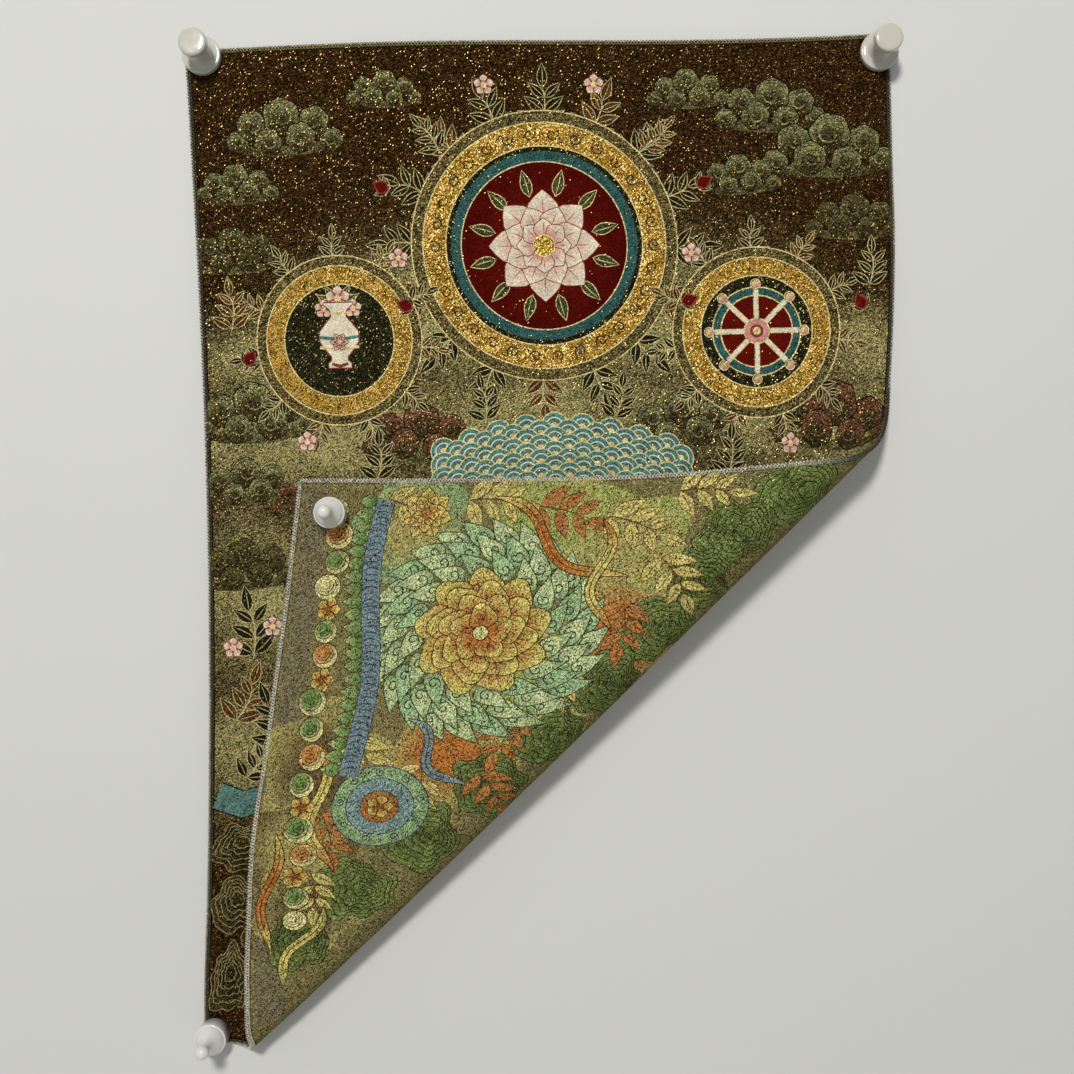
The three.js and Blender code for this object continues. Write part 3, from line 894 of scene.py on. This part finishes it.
# %% Triangles of either side
def triangulate(drawn_shapes):
    """Flat points, triangles and the shape that each triangle lies in.

    Lines that later shapes hide are left out of the triangulation.
    """
    loops = [split_long(shape.loop) for shape in drawn_shapes]
    sizes = np.array([len(loop) for loop in loops])
    points = np.concatenate(loops)
    own = np.repeat(np.arange(len(loops)), sizes)
    start = np.repeat(np.cumsum(sizes) - sizes, sizes)
    follower = start + (np.arange(len(points)) - start + 1) % sizes[own]
    lines = np.stack([np.arange(len(points)), follower], axis=1)
    shows = top_shape(points, drawn_shapes, own) < 0
    used, lines = np.unique(lines[shows[lines].any(axis=1)], return_inverse=True)
    points = np.concatenate([points[used], bend_points()])
    places, _, faces, *_ = delaunay_2d_cdt(
        [Vector(p) for p in points.tolist()], lines.reshape(-1, 2).tolist(), [], 0, 1e-3, False
    )
    flat = np.array([tuple(p) for p in places])
    triangles = np.array([tuple(face) for face in faces])
    shape_of = top_shape(flat[triangles].mean(axis=1), drawn_shapes)
    triangles, shape_of = triangles[shape_of >= 0], shape_of[shape_of >= 0]
    return flat, triangles, shape_of, drawn_shapes


face_side = triangulate(shapes[:FACE_SHAPES])
blurred = [shape for shape in shapes[:FACE_SHAPES] if not shape.yarn.endswith("line")]
reverse_side = triangulate(blurred + shapes[FACE_SHAPES:])
print("triangles on the face:", len(face_side[1]), "on the reverse:", len(reverse_side[1]))

# %% [markdown]
# ## The cloth
#
# The face and the reverse lie half the cloth's thickness to either side of the hanging surface, joined by a
# rim. The face is drawn without the corner's ornaments, because there it is shut inside the fold. The
# reverse is drawn without the fine lines of the upper half, which blur where their yarns float loose.
# Colours go on as an attribute of the triangles' corners, so a yarn may fade within a shape, as the dark
# sky does into pale mist.

# %% Colours of the cloth
# Pools of mist on the ground: u, v, half width, half height
MIST_POOLS = [
    (140, 165, 60, 36), (282, 165, 60, 36), (60, 235, 90, 30), (366, 226, 80, 30), (40, 330, 50, 46),
    (211, 222, 90, 26), (30, 420, 44, 30), (30, 190, 40, 20), (400, 186, 40, 20),
]


def mist(points):
    """Share of pale yarn in the ground: the strongest of soft round pools, made uneven by crossed sines."""
    u, v = points[..., 0], points[..., 1]
    pools = [np.exp(-(((u - a) / c) ** 2) - ((v - b) / d) ** 2) for a, b, c, d in MIST_POOLS]
    pool = np.max(pools, axis=0)
    uneven = np.sin(u / 13 + 2 * np.sin(v / 31)) * np.sin(v / 9 + 1.5 * np.sin(u / 23))
    return np.clip(pool + 0.3 * pool * uneven, 0, 1)


def corner_colours(flat, triangles, shape_of, drawn_shapes, side):
    """Linear colour of each triangle corner, with the crackle mask as its fourth value.

    A shape's fill fades to its rim yarn with the distance from its centre, and the ground fades to mist.
    """
    column = YARN_COLUMNS.index(side)
    table = {name: linear(row[column]) for name, row in YARNS.items()}
    fill = np.array([table[shape.yarn] for shape in drawn_shapes])[shape_of]
    rim = np.array([table[shape.rim] for shape in drawn_shapes])[shape_of]
    centre = np.array([shape.centre for shape in drawn_shapes])[shape_of]
    radius = np.array([shape.radius for shape in drawn_shapes])[shape_of]
    corners = flat[triangles]
    distance = np.linalg.norm(corners - centre[:, None], axis=2) / radius[:, None]
    share = ease(0.3, 1.0, distance)[..., None]
    colours = fill[:, None] + (rim - fill)[:, None] * share
    ground = shape_of == GROUND_SHAPE
    share = mist(corners[ground])[..., None]
    colours[ground] = table["ground"] + (table["mist"] - table["ground"]) * share
    crackles = YARN_COLUMNS.index("crackle")
    crackle = np.array([YARNS[shape.yarn][crackles] for shape in drawn_shapes], float)[shape_of]
    return np.concatenate([colours, np.repeat(crackle[:, None, None], 3, axis=1)], axis=2)


def corner_threads(flat, triangles, shape_of, drawn_shapes):
    """Metal share, grain and dark share of each triangle corner, from its yarn or the ground's mist."""
    table = {name: np.array(row[2:5], float) for name, row in YARNS.items()}
    threads = np.array([table[shape.yarn] for shape in drawn_shapes])[shape_of]
    threads = np.repeat(threads[:, None], 3, axis=1)
    ground = shape_of == GROUND_SHAPE
    share = mist(flat[triangles[ground]])[..., None]
    threads[ground] = table["ground"] + (table["mist"] - table["ground"]) * share
    return threads


def edge_of(flat, triangles):
    """Edges that only one triangle has, as pairs of point numbers."""
    edges = np.concatenate([triangles[:, [0, 1]], triangles[:, [1, 2]], triangles[:, [2, 0]]])
    key = edges[:, 0] * len(flat) + edges[:, 1]
    back = edges[:, 1] * len(flat) + edges[:, 0]
    return edges[~np.isin(key, back)]


# %% Cloth mesh
def add_cloth():
    """Both sides and the rim as one mesh. Points of the rim are matched by their places on the flat cut.

    One UV map holds places on the flat cut in metres, for the weave. The other lays the two sides beside
    each other.
    """
    face_flat, face_triangles, *_ = face_side
    back_flat, back_triangles, *_ = reverse_side
    flat = np.concatenate([face_flat, back_flat])
    normal = face_normal(flat[:, 0], flat[:, 1])
    normal[len(face_flat):] *= -1
    face_rim = edge_of(face_flat, face_triangles)[:, 0]
    back_rim = edge_of(back_flat, back_triangles)
    apart = np.linalg.norm(back_flat[back_rim][:, :, None] - face_flat[face_rim], axis=3)
    a, b = face_rim[apart.argmin(axis=2)].T
    c, d = back_rim.T + len(face_flat)
    rim = [np.stack([a, b, d], 1), np.stack([a, d, c], 1)]
    faces = np.concatenate([face_triangles[:, ::-1], back_triangles + len(face_flat), *rim])
    piece = add_mesh("panel_weave", hang(*flat.T) + normal * THICKNESS / 2, faces)
    rim_colour = np.broadcast_to(np.append(linear(YARNS["hem"][0]), 0), (2 * len(a), 3, 4))
    colours = np.concatenate([
        corner_colours(*face_side, "face")[:, ::-1], corner_colours(*reverse_side, "reverse"), rim_colour,
    ])
    rest = (len(back_triangles) + 2 * len(a), 3, 3)
    threads = np.concatenate([corner_threads(*face_side)[:, ::-1], np.broadcast_to(REVERSE_THREADS, rest)])
    mesh = piece.data
    yarn = mesh.attributes.new("yarn", "FLOAT_COLOR", "CORNER")
    yarn.data.foreach_set("color", colours.astype(np.float32).ravel())
    mixed_in = mesh.attributes.new("threads", "FLOAT_VECTOR", "CORNER")
    mixed_in.data.foreach_set("vector", threads.astype(np.float32).ravel())
    corner_points = np.empty(len(mesh.loops), np.int32)
    mesh.loops.foreach_get("vertex_index", corner_points)
    spread = flat[corner_points]
    mesh.uv_layers.new(name="cut").data.foreach_set("uv", (spread * MM).astype(np.float32).ravel())
    side_by_side = spread / (2 * CUT_WIDTH)
    side_by_side[3 * len(face_triangles):3 * (len(face_triangles) + len(back_triangles)), 0] += 0.5
    mesh.uv_layers.new(name="OFBake").data.foreach_set("uv", side_by_side.astype(np.float32).ravel())
    mesh.normals_split_custom_set_from_vertices(normal.tolist())
    side = np.zeros(len(mesh.polygons), np.int32)
    side[len(face_triangles):len(face_triangles) + len(back_triangles)] = 1
    mesh.polygons.foreach_set("material_index", side)
    return piece


cloth = add_cloth()
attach(cloth, "root")
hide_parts("panel_cloth")
print("cloth triangles:", len(cloth.data.polygons))

# %% [markdown]
# ## Weave shader
#
# Up close the brocade is a field of short floats of thread, under a millimetre long, and some of them are
# flat metal strips that glint. A node group cuts the flat cut's coordinates into cells of that size and
# gives each a random brightness. It makes some cells metal, as many as the yarn has, and draws the fine
# dark lines that break up the gold. Metal cells are also painted towards the strip colour, brightly in only
# a few, as a painted glint beside their metallic shine.

# %% Node helpers
def add_node(tree, kind, sources=None, **settings):
    """Add a shader node. Its sources are sockets to link or values to set, by input name or number."""
    node = tree.nodes.new("ShaderNode" + kind)
    for key, value in settings.items():
        setattr(node, key, value)
    for key, source in (sources or {}).items():
        if isinstance(source, bpy.types.NodeSocket):
            tree.links.new(source, node.inputs[key])
        else:
            node.inputs[key].default_value = source
    return node


def calc(tree, operation, *values):
    """Output of a math node on sockets or numbers."""
    return add_node(tree, "Math", dict(enumerate(values)), operation=operation).outputs[0]


def blend_colour(tree, share, low, high, how="MIX"):
    """Output of a mix node between two colours."""
    node = add_node(tree, "Mix", {0: share, 6: low, 7: high}, data_type="RGBA", blend_type=how)
    return node.outputs[2]


def span(tree, value, from_low, from_high, to_low, to_high):
    """Output of a map range node, held within its ends."""
    return add_node(tree, "MapRange", {0: value, 1: from_low, 2: from_high, 3: to_low, 4: to_high}).outputs[0]


def new_group(name, inputs, outputs):
    """Make a shader node group with the given sockets, and return it with its input and output nodes."""
    tree = bpy.data.node_groups.new(name, "ShaderNodeTree")
    for direction, sockets in (("INPUT", inputs), ("OUTPUT", outputs)):
        for socket, kind in sockets.items():
            tree.interface.new_socket(socket, in_out=direction, socket_type="NodeSocket" + kind)
    return tree, tree.nodes.new("NodeGroupInput"), tree.nodes.new("NodeGroupOutput")


def new_material(name, **constants):
    """Make a material with one Principled BSDF and set its constant inputs; underscores stand for spaces."""
    material = bpy.data.materials.new(name)
    material.use_nodes = True
    shader = material.node_tree.nodes["Principled BSDF"]
    for key, value in constants.items():
        shader.inputs[key.replace("_", " ")].default_value = value
    return material, material.node_tree, shader


# %% Weave group
DARK_THREAD = (0.006, 0.004, 0.002, 1)
DARK_COVER = 0.9
TWILL_SLANT = 0.5
TWILL_PITCH = 1.496
ROW_STAGGER = 0.37
STRIP_SEEN = 0.6
STRIP_METALLIC = 0.6
PATCH_SCALE = 0.11
CRACK_SCALE = 0.42


def make_weave_group():
    """Cells of the cut give each float of thread its brightness, and choose the dark and the metal ones."""
    tree, given, made = new_group(
        "woven_threads",
        {
            "Yarn": "Color", "Crackle": "Float", "Threads": "Vector", "Strip": "Color",
            "Float length": "Float", "Row height": "Float",
        },
        {"Colour": "Color", "Roughness": "Float", "Metallic": "Float", "Height": "Float"},
    )
    flat = add_node(tree, "UVMap", uv_map="cut").outputs[0]
    flat = add_node(tree, "VectorMath", {0: flat, "Scale": 1 / MM}, operation="SCALE").outputs[0]
    axes = add_node(tree, "SeparateXYZ", {0: flat})
    row = calc(tree, "FLOOR", calc(tree, "DIVIDE", axes.outputs[1], given.outputs["Row height"]))
    slanted = calc(tree, "MULTIPLY_ADD", axes.outputs[1], TWILL_SLANT, axes.outputs[0])
    step = calc(tree, "DIVIDE", slanted, given.outputs["Float length"])
    along_row = calc(tree, "MULTIPLY_ADD", row, ROW_STAGGER, step)
    column = calc(tree, "FLOOR", along_row)
    cell = add_node(tree, "CombineXYZ", {0: column, 1: row}).outputs[0]
    chance = add_node(tree, "TexWhiteNoise", {0: cell}, noise_dimensions="2D")
    shade = add_node(tree, "SeparateColor", {0: chance.outputs[1]})
    share = add_node(tree, "SeparateXYZ", {0: given.outputs["Threads"]})
    patch = add_node(tree, "TexNoise", {"Vector": flat, "Scale": PATCH_SCALE, "Detail": 3.0},
                     noise_dimensions="2D").outputs[0]
    swing = calc(tree, "MULTIPLY_ADD", shade.outputs[0], 2.0, -1.0)
    bright = calc(tree, "POWER", 2.0, calc(tree, "MULTIPLY", swing, share.outputs[1]))
    bright = calc(tree, "MULTIPLY", bright, span(tree, patch, 0.3, 0.7, 0.88, 1.12))
    grey = add_node(tree, "CombineColor", {0: bright, 1: bright, 2: bright}).outputs[0]
    colour = blend_colour(tree, 1.0, given.outputs["Yarn"], grey, "MULTIPLY")
    cracks = add_node(tree, "TexVoronoi", {"Vector": flat, "Scale": CRACK_SCALE}, voronoi_dimensions="2D",
                      feature="DISTANCE_TO_EDGE").outputs[0]
    crack = calc(tree, "MULTIPLY", span(tree, cracks, 0.03, 0.12, 0.5, 0.0), given.outputs["Crackle"])
    dark = calc(tree, "LESS_THAN", shade.outputs[1], share.outputs[2])
    shaded = calc(tree, "MAXIMUM", crack, calc(tree, "MULTIPLY", dark, DARK_COVER))
    colour = blend_colour(tree, shaded, colour, DARK_THREAD)
    wanted = calc(tree, "MULTIPLY", share.outputs[0], span(tree, patch, 0.3, 0.7, 0.6, 1.4))
    seen = calc(tree, "LESS_THAN", calc(tree, "FRACT", along_row), STRIP_SEEN)
    strip = calc(tree, "MULTIPLY", calc(tree, "LESS_THAN", chance.outputs[0], wanted), seen)
    rarity = span(tree, share.outputs[0], 0.1, 0.3, 3.0, 1.0)
    # Painted glint: metal cells lean towards the strip colour, fully in only a few, on top of their metallic
    # shine
    painted_glint_and_metal = calc(tree, "MULTIPLY", strip, calc(tree, "POWER", shade.outputs[2], rarity))
    colour = blend_colour(tree, painted_glint_and_metal, colour, given.outputs["Strip"])
    diagonal = calc(tree, "ADD", axes.outputs[0], axes.outputs[1])
    twill = calc(tree, "SINE", calc(tree, "MULTIPLY", diagonal, 2 * math.pi / TWILL_PITCH))
    height = calc(tree, "MULTIPLY_ADD", twill, 0.3, shade.outputs[1])
    tree.links.new(colour, made.inputs["Colour"])
    tree.links.new(span(tree, strip, 0, 1, 0.65, 0.35), made.inputs["Roughness"])
    tree.links.new(calc(tree, "MULTIPLY", painted_glint_and_metal, STRIP_METALLIC), made.inputs["Metallic"])
    tree.links.new(height, made.inputs["Height"])
    return tree


weave_group = make_weave_group()


def brocade(name, float_length, row_height, strip):
    """Cloth material: woven threads in the colours of the yarn attribute, with strips of one colour."""
    material, tree, shader = new_material(name, Specular_IOR_Level=0.0)
    yarns = add_node(tree, "Attribute", attribute_name="yarn")
    threads = add_node(tree, "Attribute", attribute_name="threads")
    weave = add_node(tree, "Group", node_tree=weave_group)
    weave.inputs["Float length"].default_value = float_length
    weave.inputs["Row height"].default_value = row_height
    weave.inputs["Strip"].default_value = strip
    tree.links.new(yarns.outputs["Color"], weave.inputs["Yarn"])
    tree.links.new(yarns.outputs["Alpha"], weave.inputs["Crackle"])
    tree.links.new(threads.outputs["Vector"], weave.inputs["Threads"])
    bump = add_node(tree, "Bump", {"Strength": 0.5, "Distance": 0.0002, "Height": weave.outputs["Height"]})
    tree.links.new(weave.outputs["Colour"], shader.inputs["Base Color"])
    tree.links.new(weave.outputs["Roughness"], shader.inputs["Roughness"])
    tree.links.new(weave.outputs["Metallic"], shader.inputs["Metallic"])
    tree.links.new(bump.outputs[0], shader.inputs["Normal"])
    return material


FLOAT_LENGTH = 0.7
ROW_HEIGHT = 0.55
# Strip colours: the metal's own gold, which is also the colour of the painted glint
for name, strip in (("brocade_face", (0.86, 0.64, 0.25, 1)), ("brocade_reverse", (0.6, 0.56, 0.36, 1))):
    cloth.data.materials.append(brocade(name, FLOAT_LENGTH, ROW_HEIGHT, strip))
print("cloth materials:", [material.name for material in cloth.data.materials])

# %% [markdown]
# ## Overlocked edge
#
# The raw edge is bound by an overlock stitch. Its two threads go over and under the edge, a little further
# along each time, and lean opposite ways, so they cross as a braid. Each is one long helix, flattened to
# the cloth, that follows the edge through the fold. Dark thread shows on the face, and pale thread on the
# reverse and round the very edge. Down the right edge by the high end of the fold, the pale colour fades
# out and the thread is coloured dark on both sides.

# %% Overlock thread
STITCH_PITCH = 1.9
STITCH_REACH = 2.6
STITCH_OVERHANG = 0.35
STITCH_SLANTS = (0.7, -0.7)
THREAD_RADIUS = 0.34
INWARD_AIM = 8.0
POINTS_A_STITCH = 8
EDGE_WRAP = 0.6
THREAD_SIDES = 5
THREAD_FACE = (58, 53, 31)
THREAD_TOP_EDGE = (124, 113, 66)
THREAD_REVERSE = (184, 180, 162)
# Places down the right edge where the reverse's pale thread stops, starts again and is full
PALE_STOPS, PALE_STARTS, PALE_FULL = 207.0, 262.0, 305.0


def edge_path(distance):
    """Place on the edge of the cut and inward direction, at distances along it."""
    loop = rounded_cut(0, CORNER_ROUND, 1.0)
    ahead = np.roll(loop, -1, axis=0)
    reached = np.append(0, np.cumsum(np.linalg.norm(ahead - loop, axis=1)))
    closed = np.append(loop, loop[:1], axis=0)
    at = np.stack([np.interp(distance % reached[-1], reached, closed[:, axis]) for axis in (0, 1)], axis=1)
    inner = np.clip(at, INWARD_AIM, (CUT_WIDTH - INWARD_AIM, CUT_HEIGHT - INWARD_AIM))
    inward = inner - at
    return at, inward / np.linalg.norm(inward, axis=1, keepdims=True), reached[-1]


def overlock(slant):
    """Helix of thread: phase runs round the edge's section while distance runs along it.

    The cosine of the phase moves a point in over the cloth and back out past its edge, leaning along it.
    The sine moves it from one side of the cloth to the other. Rings of points square to the path make the
    thread round.
    """
    length = edge_path(np.zeros(1))[2]
    stitches = round(length / STITCH_PITCH)
    steps = stitches * POINTS_A_STITCH
    phase = 2 * np.pi * np.arange(steps) / POINTS_A_STITCH
    depth = (STITCH_REACH - STITCH_OVERHANG) / 2 - (STITCH_REACH + STITCH_OVERHANG) / 2 * np.cos(phase)
    at, inward, _ = edge_path(np.arange(steps) / steps * length + slant * depth)
    spot = at + inward * depth[:, None]
    out = face_normal(spot[:, 0], spot[:, 1])
    rise = (THICKNESS / 2 + 0.6 * THREAD_RADIUS) * np.sin(phase)
    path = hang(spot[:, 0], spot[:, 1]) + out * rise[:, None]
    heading = np.roll(path, -1, axis=0) - np.roll(path, 1, axis=0)
    heading /= np.linalg.norm(heading, axis=1, keepdims=True)
    beside = np.cross(heading, out)
    beside /= np.linalg.norm(beside, axis=1, keepdims=True) + 1e-9
    up = np.cross(beside, heading)
    ring_angle = 2 * np.pi * np.arange(THREAD_SIDES) / THREAD_SIDES
    ring = np.cos(ring_angle)[:, None] * beside[:, None] + np.sin(ring_angle)[:, None] * up[:, None]
    points = path[:, None] + THREAD_RADIUS * ring
    colour = np.where((at[:, 1] < HEM_WIDTH)[:, None], linear(THREAD_TOP_EDGE), linear(THREAD_FACE))
    pale = (np.sin(phase) < 0) | (np.cos(phase) > EDGE_WRAP)
    by_fold = (at[:, 0] > CUT_WIDTH - HEM_WIDTH) & (at[:, 1] >= PALE_STOPS)
    share = np.where(by_fold, ease(PALE_STARTS, PALE_FULL, at[:, 1]), 1) * pale
    colour = colour + (linear(THREAD_REVERSE) - colour) * share[:, None]
    return points.reshape(-1, 3), np.repeat(colour, THREAD_SIDES, axis=0)


def overlock_yarn():
    """Thread material: the colours of the thread attribute, made uneven by fine noise."""
    material, tree, shader = new_material("overlock_yarn", Roughness=0.7, Sheen_Weight=0.2)
    shade = add_node(tree, "Attribute", attribute_name="thread").outputs["Color"]
    where = add_node(tree, "TexCoord").outputs["Object"]
    fibre = add_node(tree, "TexNoise", {"Vector": where, "Scale": 900.0, "Detail": 2.0}).outputs[0]
    level = span(tree, fibre, 0.3, 0.7, 0.25, 1.75)
    grey = add_node(tree, "CombineColor", {0: level, 1: level, 2: level}).outputs[0]
    tree.links.new(blend_colour(tree, 1.0, shade, grey, "MULTIPLY"), shader.inputs["Base Color"])
    return material


helices = [overlock(slant) for slant in STITCH_SLANTS]
thread_points, thread_colour = (np.concatenate(arrays) for arrays in zip(*helices))
helix_points = len(helices[0][0])
helix_faces = grid_faces(helix_points // THREAD_SIDES, THREAD_SIDES, True, True)[:, ::-1]
thread = add_mesh("overlock_thread", thread_points, np.concatenate([helix_faces, helix_faces + helix_points]))
thread_colour = np.concatenate([thread_colour, np.ones((len(thread_points), 1))], axis=1)
tint = thread.data.attributes.new("thread", "FLOAT_COLOR", "POINT")
tint.data.foreach_set("color", thread_colour.astype(np.float32).ravel())
thread.data.materials.append(overlock_yarn())
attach(thread, "root")
print("thread triangles:", 2 * len(thread.data.polygons))

# %% [markdown]
# ## Push pins
#
# The pins are moulded plastic. The two at the top have a flange, a drawn-in stem and a flat cap.
# The other two have a plain drum, a bell-shaped shoulder and a small ball. Each is one profile spun round
# its axis, and that axis points straight off the wall.

# %% Pin profiles and pieces
PIN_SEAT_GAP = 0.3
PIN_SEGMENTS = 64


def arc(centre, radius, start, end, points=7):
    """Points on a circle between two angles in degrees."""
    angle = np.radians(np.linspace(start, end, points))
    return np.asarray(centre, float) + radius * np.stack([np.cos(angle), np.sin(angle)], axis=1)


def through(points, each=8):
    """A smooth line through points, by the Catmull-Rom formula with its ends repeated."""
    p = np.asarray([points[0], *points, points[-1]], float)
    k = np.linspace(0, 1, each, endpoint=False)[:, None]
    spans = [
        0.5 * (2 * b + (c - a) * k + (2 * a - 5 * b + 4 * c - d) * k**2 + (3 * b - a - 3 * c + d) * k**3)
        for a, b, c, d in zip(p, p[1:], p[2:], p[3:])
    ]
    return np.concatenate([*spans, p[-1:]])


def cap_profile():
    """Radius and height of the flanged pin: round-edged flange, drawn-in stem, round-edged flat cap."""
    flange, flange_height, foot, waist, cap, height = 11.4, 4.4, 7.2, 5.0, 8.3, 24.0
    stem = [(foot, flange_height), (waist + 0.8, 0.42 * height), (waist, 0.62 * height), (cap, 0.8 * height)]
    return np.concatenate([
        [(0, 0), (flange - 0.4, 0), (flange, 0.4)],
        arc((flange - 1, flange_height - 1), 1, 0, 90),
        through(stem),
        arc((cap - 1.8, height - 1.8), 1.8, 0, 90),
        [(3, height), (0, height)],
    ])


def knob_profile():
    """Radius and height of the ball pin: drum, bell-shaped shoulder by a cubic Bezier, neck and ball."""
    drum, drum_height, neck, ball, height = 9.3, 10.5, 2.7, 4.0, 31.0
    k = np.linspace(0, 1, 14)[:, None]
    join = height - ball - math.sqrt(ball**2 - neck**2)
    ends = [np.array(p) for p in ((drum - 0.6, drum_height), (0.75 * drum, 15.0), (neck, 16.0), (neck, join))]
    bell = sum(c * (1 - k) ** (3 - i) * k**i * p for i, (c, p) in enumerate(zip((1, 3, 3, 1), ends)))
    low = math.degrees(math.asin(-math.sqrt(ball**2 - neck**2) / ball))
    return np.concatenate([
        [(0, 0), (drum - 0.3, 0), (drum, 0.3), (drum, drum_height - 0.6)],
        arc((drum - 0.6, drum_height - 0.6), 0.6, 20, 80, 3),
        bell[:-1],
        arc((0, height - ball), ball, low, 90, 16),
    ])


def turned(name, profile, x, y, z):
    """Spin a profile of radius and height round an axis that points off the wall, towards -Y.

    Both ends of the profile lie on the axis, so their points are merged to close the poles.
    """
    angle = 2 * np.pi * np.arange(PIN_SEGMENTS) / PIN_SEGMENTS
    radius, height = profile[:, 0, None], profile[:, 1, None]
    axes = np.broadcast_arrays(x + radius * np.cos(angle), y - height, z + radius * np.sin(angle))
    points = np.stack(axes, axis=-1)
    piece = add_mesh(name, points.reshape(-1, 3), grid_faces(len(profile), PIN_SEGMENTS, False, True))
    closed = bmesh.new()
    closed.from_mesh(piece.data)
    bmesh.ops.remove_doubles(closed, verts=closed.verts, dist=1e-6)
    bmesh.ops.recalc_face_normals(closed, faces=closed.faces)
    closed.to_mesh(piece.data)
    closed.free()
    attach(piece, "root")
    return piece


def moulded_plastic(name, colour, roughness):
    """Glossy plastic with faint unevenness from the mould."""
    material, tree, shader = new_material(name, Specular_IOR_Level=0.5, Subsurface_Weight=0.08)
    shader.inputs["Base Color"].default_value = (*linear(colour), 1)
    shader.inputs["Subsurface Radius"].default_value = (0.002, 0.0015, 0.001)
    where = add_node(tree, "TexCoord").outputs["Object"]
    uneven = add_node(tree, "TexNoise", {"Vector": where, "Scale": 260.0, "Detail": 2.0}).outputs[0]
    polish = span(tree, uneven, 0.3, 0.7, roughness - 0.06, roughness + 0.08)
    tree.links.new(polish, shader.inputs["Roughness"])
    bump = add_node(tree, "Bump", {"Strength": 0.15, "Distance": 0.0002, "Height": uneven})
    tree.links.new(bump.outputs[0], shader.inputs["Normal"])
    return material


ivory = moulded_plastic("ivory_plastic", (198, 197, 186), 0.15)
white = moulded_plastic("white_plastic", (224, 224, 220), 0.15)
for node, (x, z) in PIN_PLACES.items():
    seat = -(THICKNESS + PIN_SEAT_GAP)
    if node == "pin_flap":
        seat -= THICKNESS + FLAP_GAP
    capped = node in ("pin_top_left", "pin_top_right")
    pin = turned(node + "_turned", cap_profile() if capped else knob_profile(), x, seat, z)
    pin.data.materials.append(ivory if capped else white)
    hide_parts(node)
print("pins:", len(PIN_PLACES))

# %% [markdown]
# ## Wall, floor and light
#
# The panel hangs on a pale painted wall, lit from above and a little to the left by one soft source, with a
# weak fill all round. The wall can be seen through from behind, and a second light stands there, so that
# the back of the panel can be looked at too.

# %% Stage
WALL_GAP = 1.8
WALL_HALF = 1500.0
WALL_TOP = 1200.0
FLOOR_DROP = -1150.0
FLOOR_HALF = 3000.0


def add_plane(name, corners, material):
    """A flat four-cornered stage piece."""
    piece = add_mesh(name, corners, [[0, 1, 2, 3]], smooth=False)
    piece.data.materials.append(material)
    return piece


paint, tree, shader = new_material("wall_paint", Roughness=0.85, Base_Color=(0.66, 0.67, 0.66, 1))
clear = add_node(tree, "BsdfTransparent")
behind = add_node(tree, "NewGeometry").outputs["Backfacing"]
both = add_node(tree, "MixShader", {0: behind, 1: shader.outputs[0], 2: clear.outputs[0]})
tree.links.new(both.outputs[0], tree.nodes["Material Output"].inputs["Surface"])
wall = add_plane("wall", [
    (-WALL_HALF, WALL_GAP, FLOOR_DROP), (WALL_HALF, WALL_GAP, FLOOR_DROP),
    (WALL_HALF, WALL_GAP, WALL_TOP), (-WALL_HALF, WALL_GAP, WALL_TOP),
], paint)
wall.visible_shadow = False
floor_paint = new_material("floor_paint", Roughness=0.8, Base_Color=(0.55, 0.54, 0.52, 1))[0]
add_plane("floor", [
    (-FLOOR_HALF, -FLOOR_HALF, FLOOR_DROP), (FLOOR_HALF, -FLOOR_HALF, FLOOR_DROP),
    (FLOOR_HALF, FLOOR_HALF, FLOOR_DROP), (-FLOOR_HALF, FLOOR_HALF, FLOOR_DROP),
], floor_paint)


def add_light(name, power, size, place_at, aim, colour=(1, 1, 1)):
    """A square area light, in metres, turned so that its beam points at a spot."""
    data = bpy.data.lights.new(name, "AREA")
    data.energy = power
    data.size = size
    data.color = colour
    light = bpy.data.objects.new(name, data)
    light.location = place_at
    light.rotation_euler = (Vector(aim) - Vector(place_at)).to_track_quat("-Z", "Y").to_euler()
    bpy.context.collection.objects.link(light)
    return light


PANEL_MIDDLE = (0, 0, -0.3)
WARM_WHITE = (1, 0.97, 0.92)
add_light("key", power=42.5, size=0.32, place_at=(-0.35, -2.2, 0.75), aim=PANEL_MIDDLE, colour=WARM_WHITE)
add_light("back_fill", power=12, size=1.2, place_at=(0.6, 2.4, 0.8), aim=PANEL_MIDDLE)
world = bpy.data.worlds.new("soft_room")
bpy.context.scene.world = world
world.use_nodes = True
background = world.node_tree.nodes["Background"]
background.inputs["Color"].default_value = (0.95, 0.97, 1, 1)
background.inputs["Strength"].default_value = 0.3
bpy.context.scene.view_settings.view_transform = "Standard"
print("stage and lights ready")
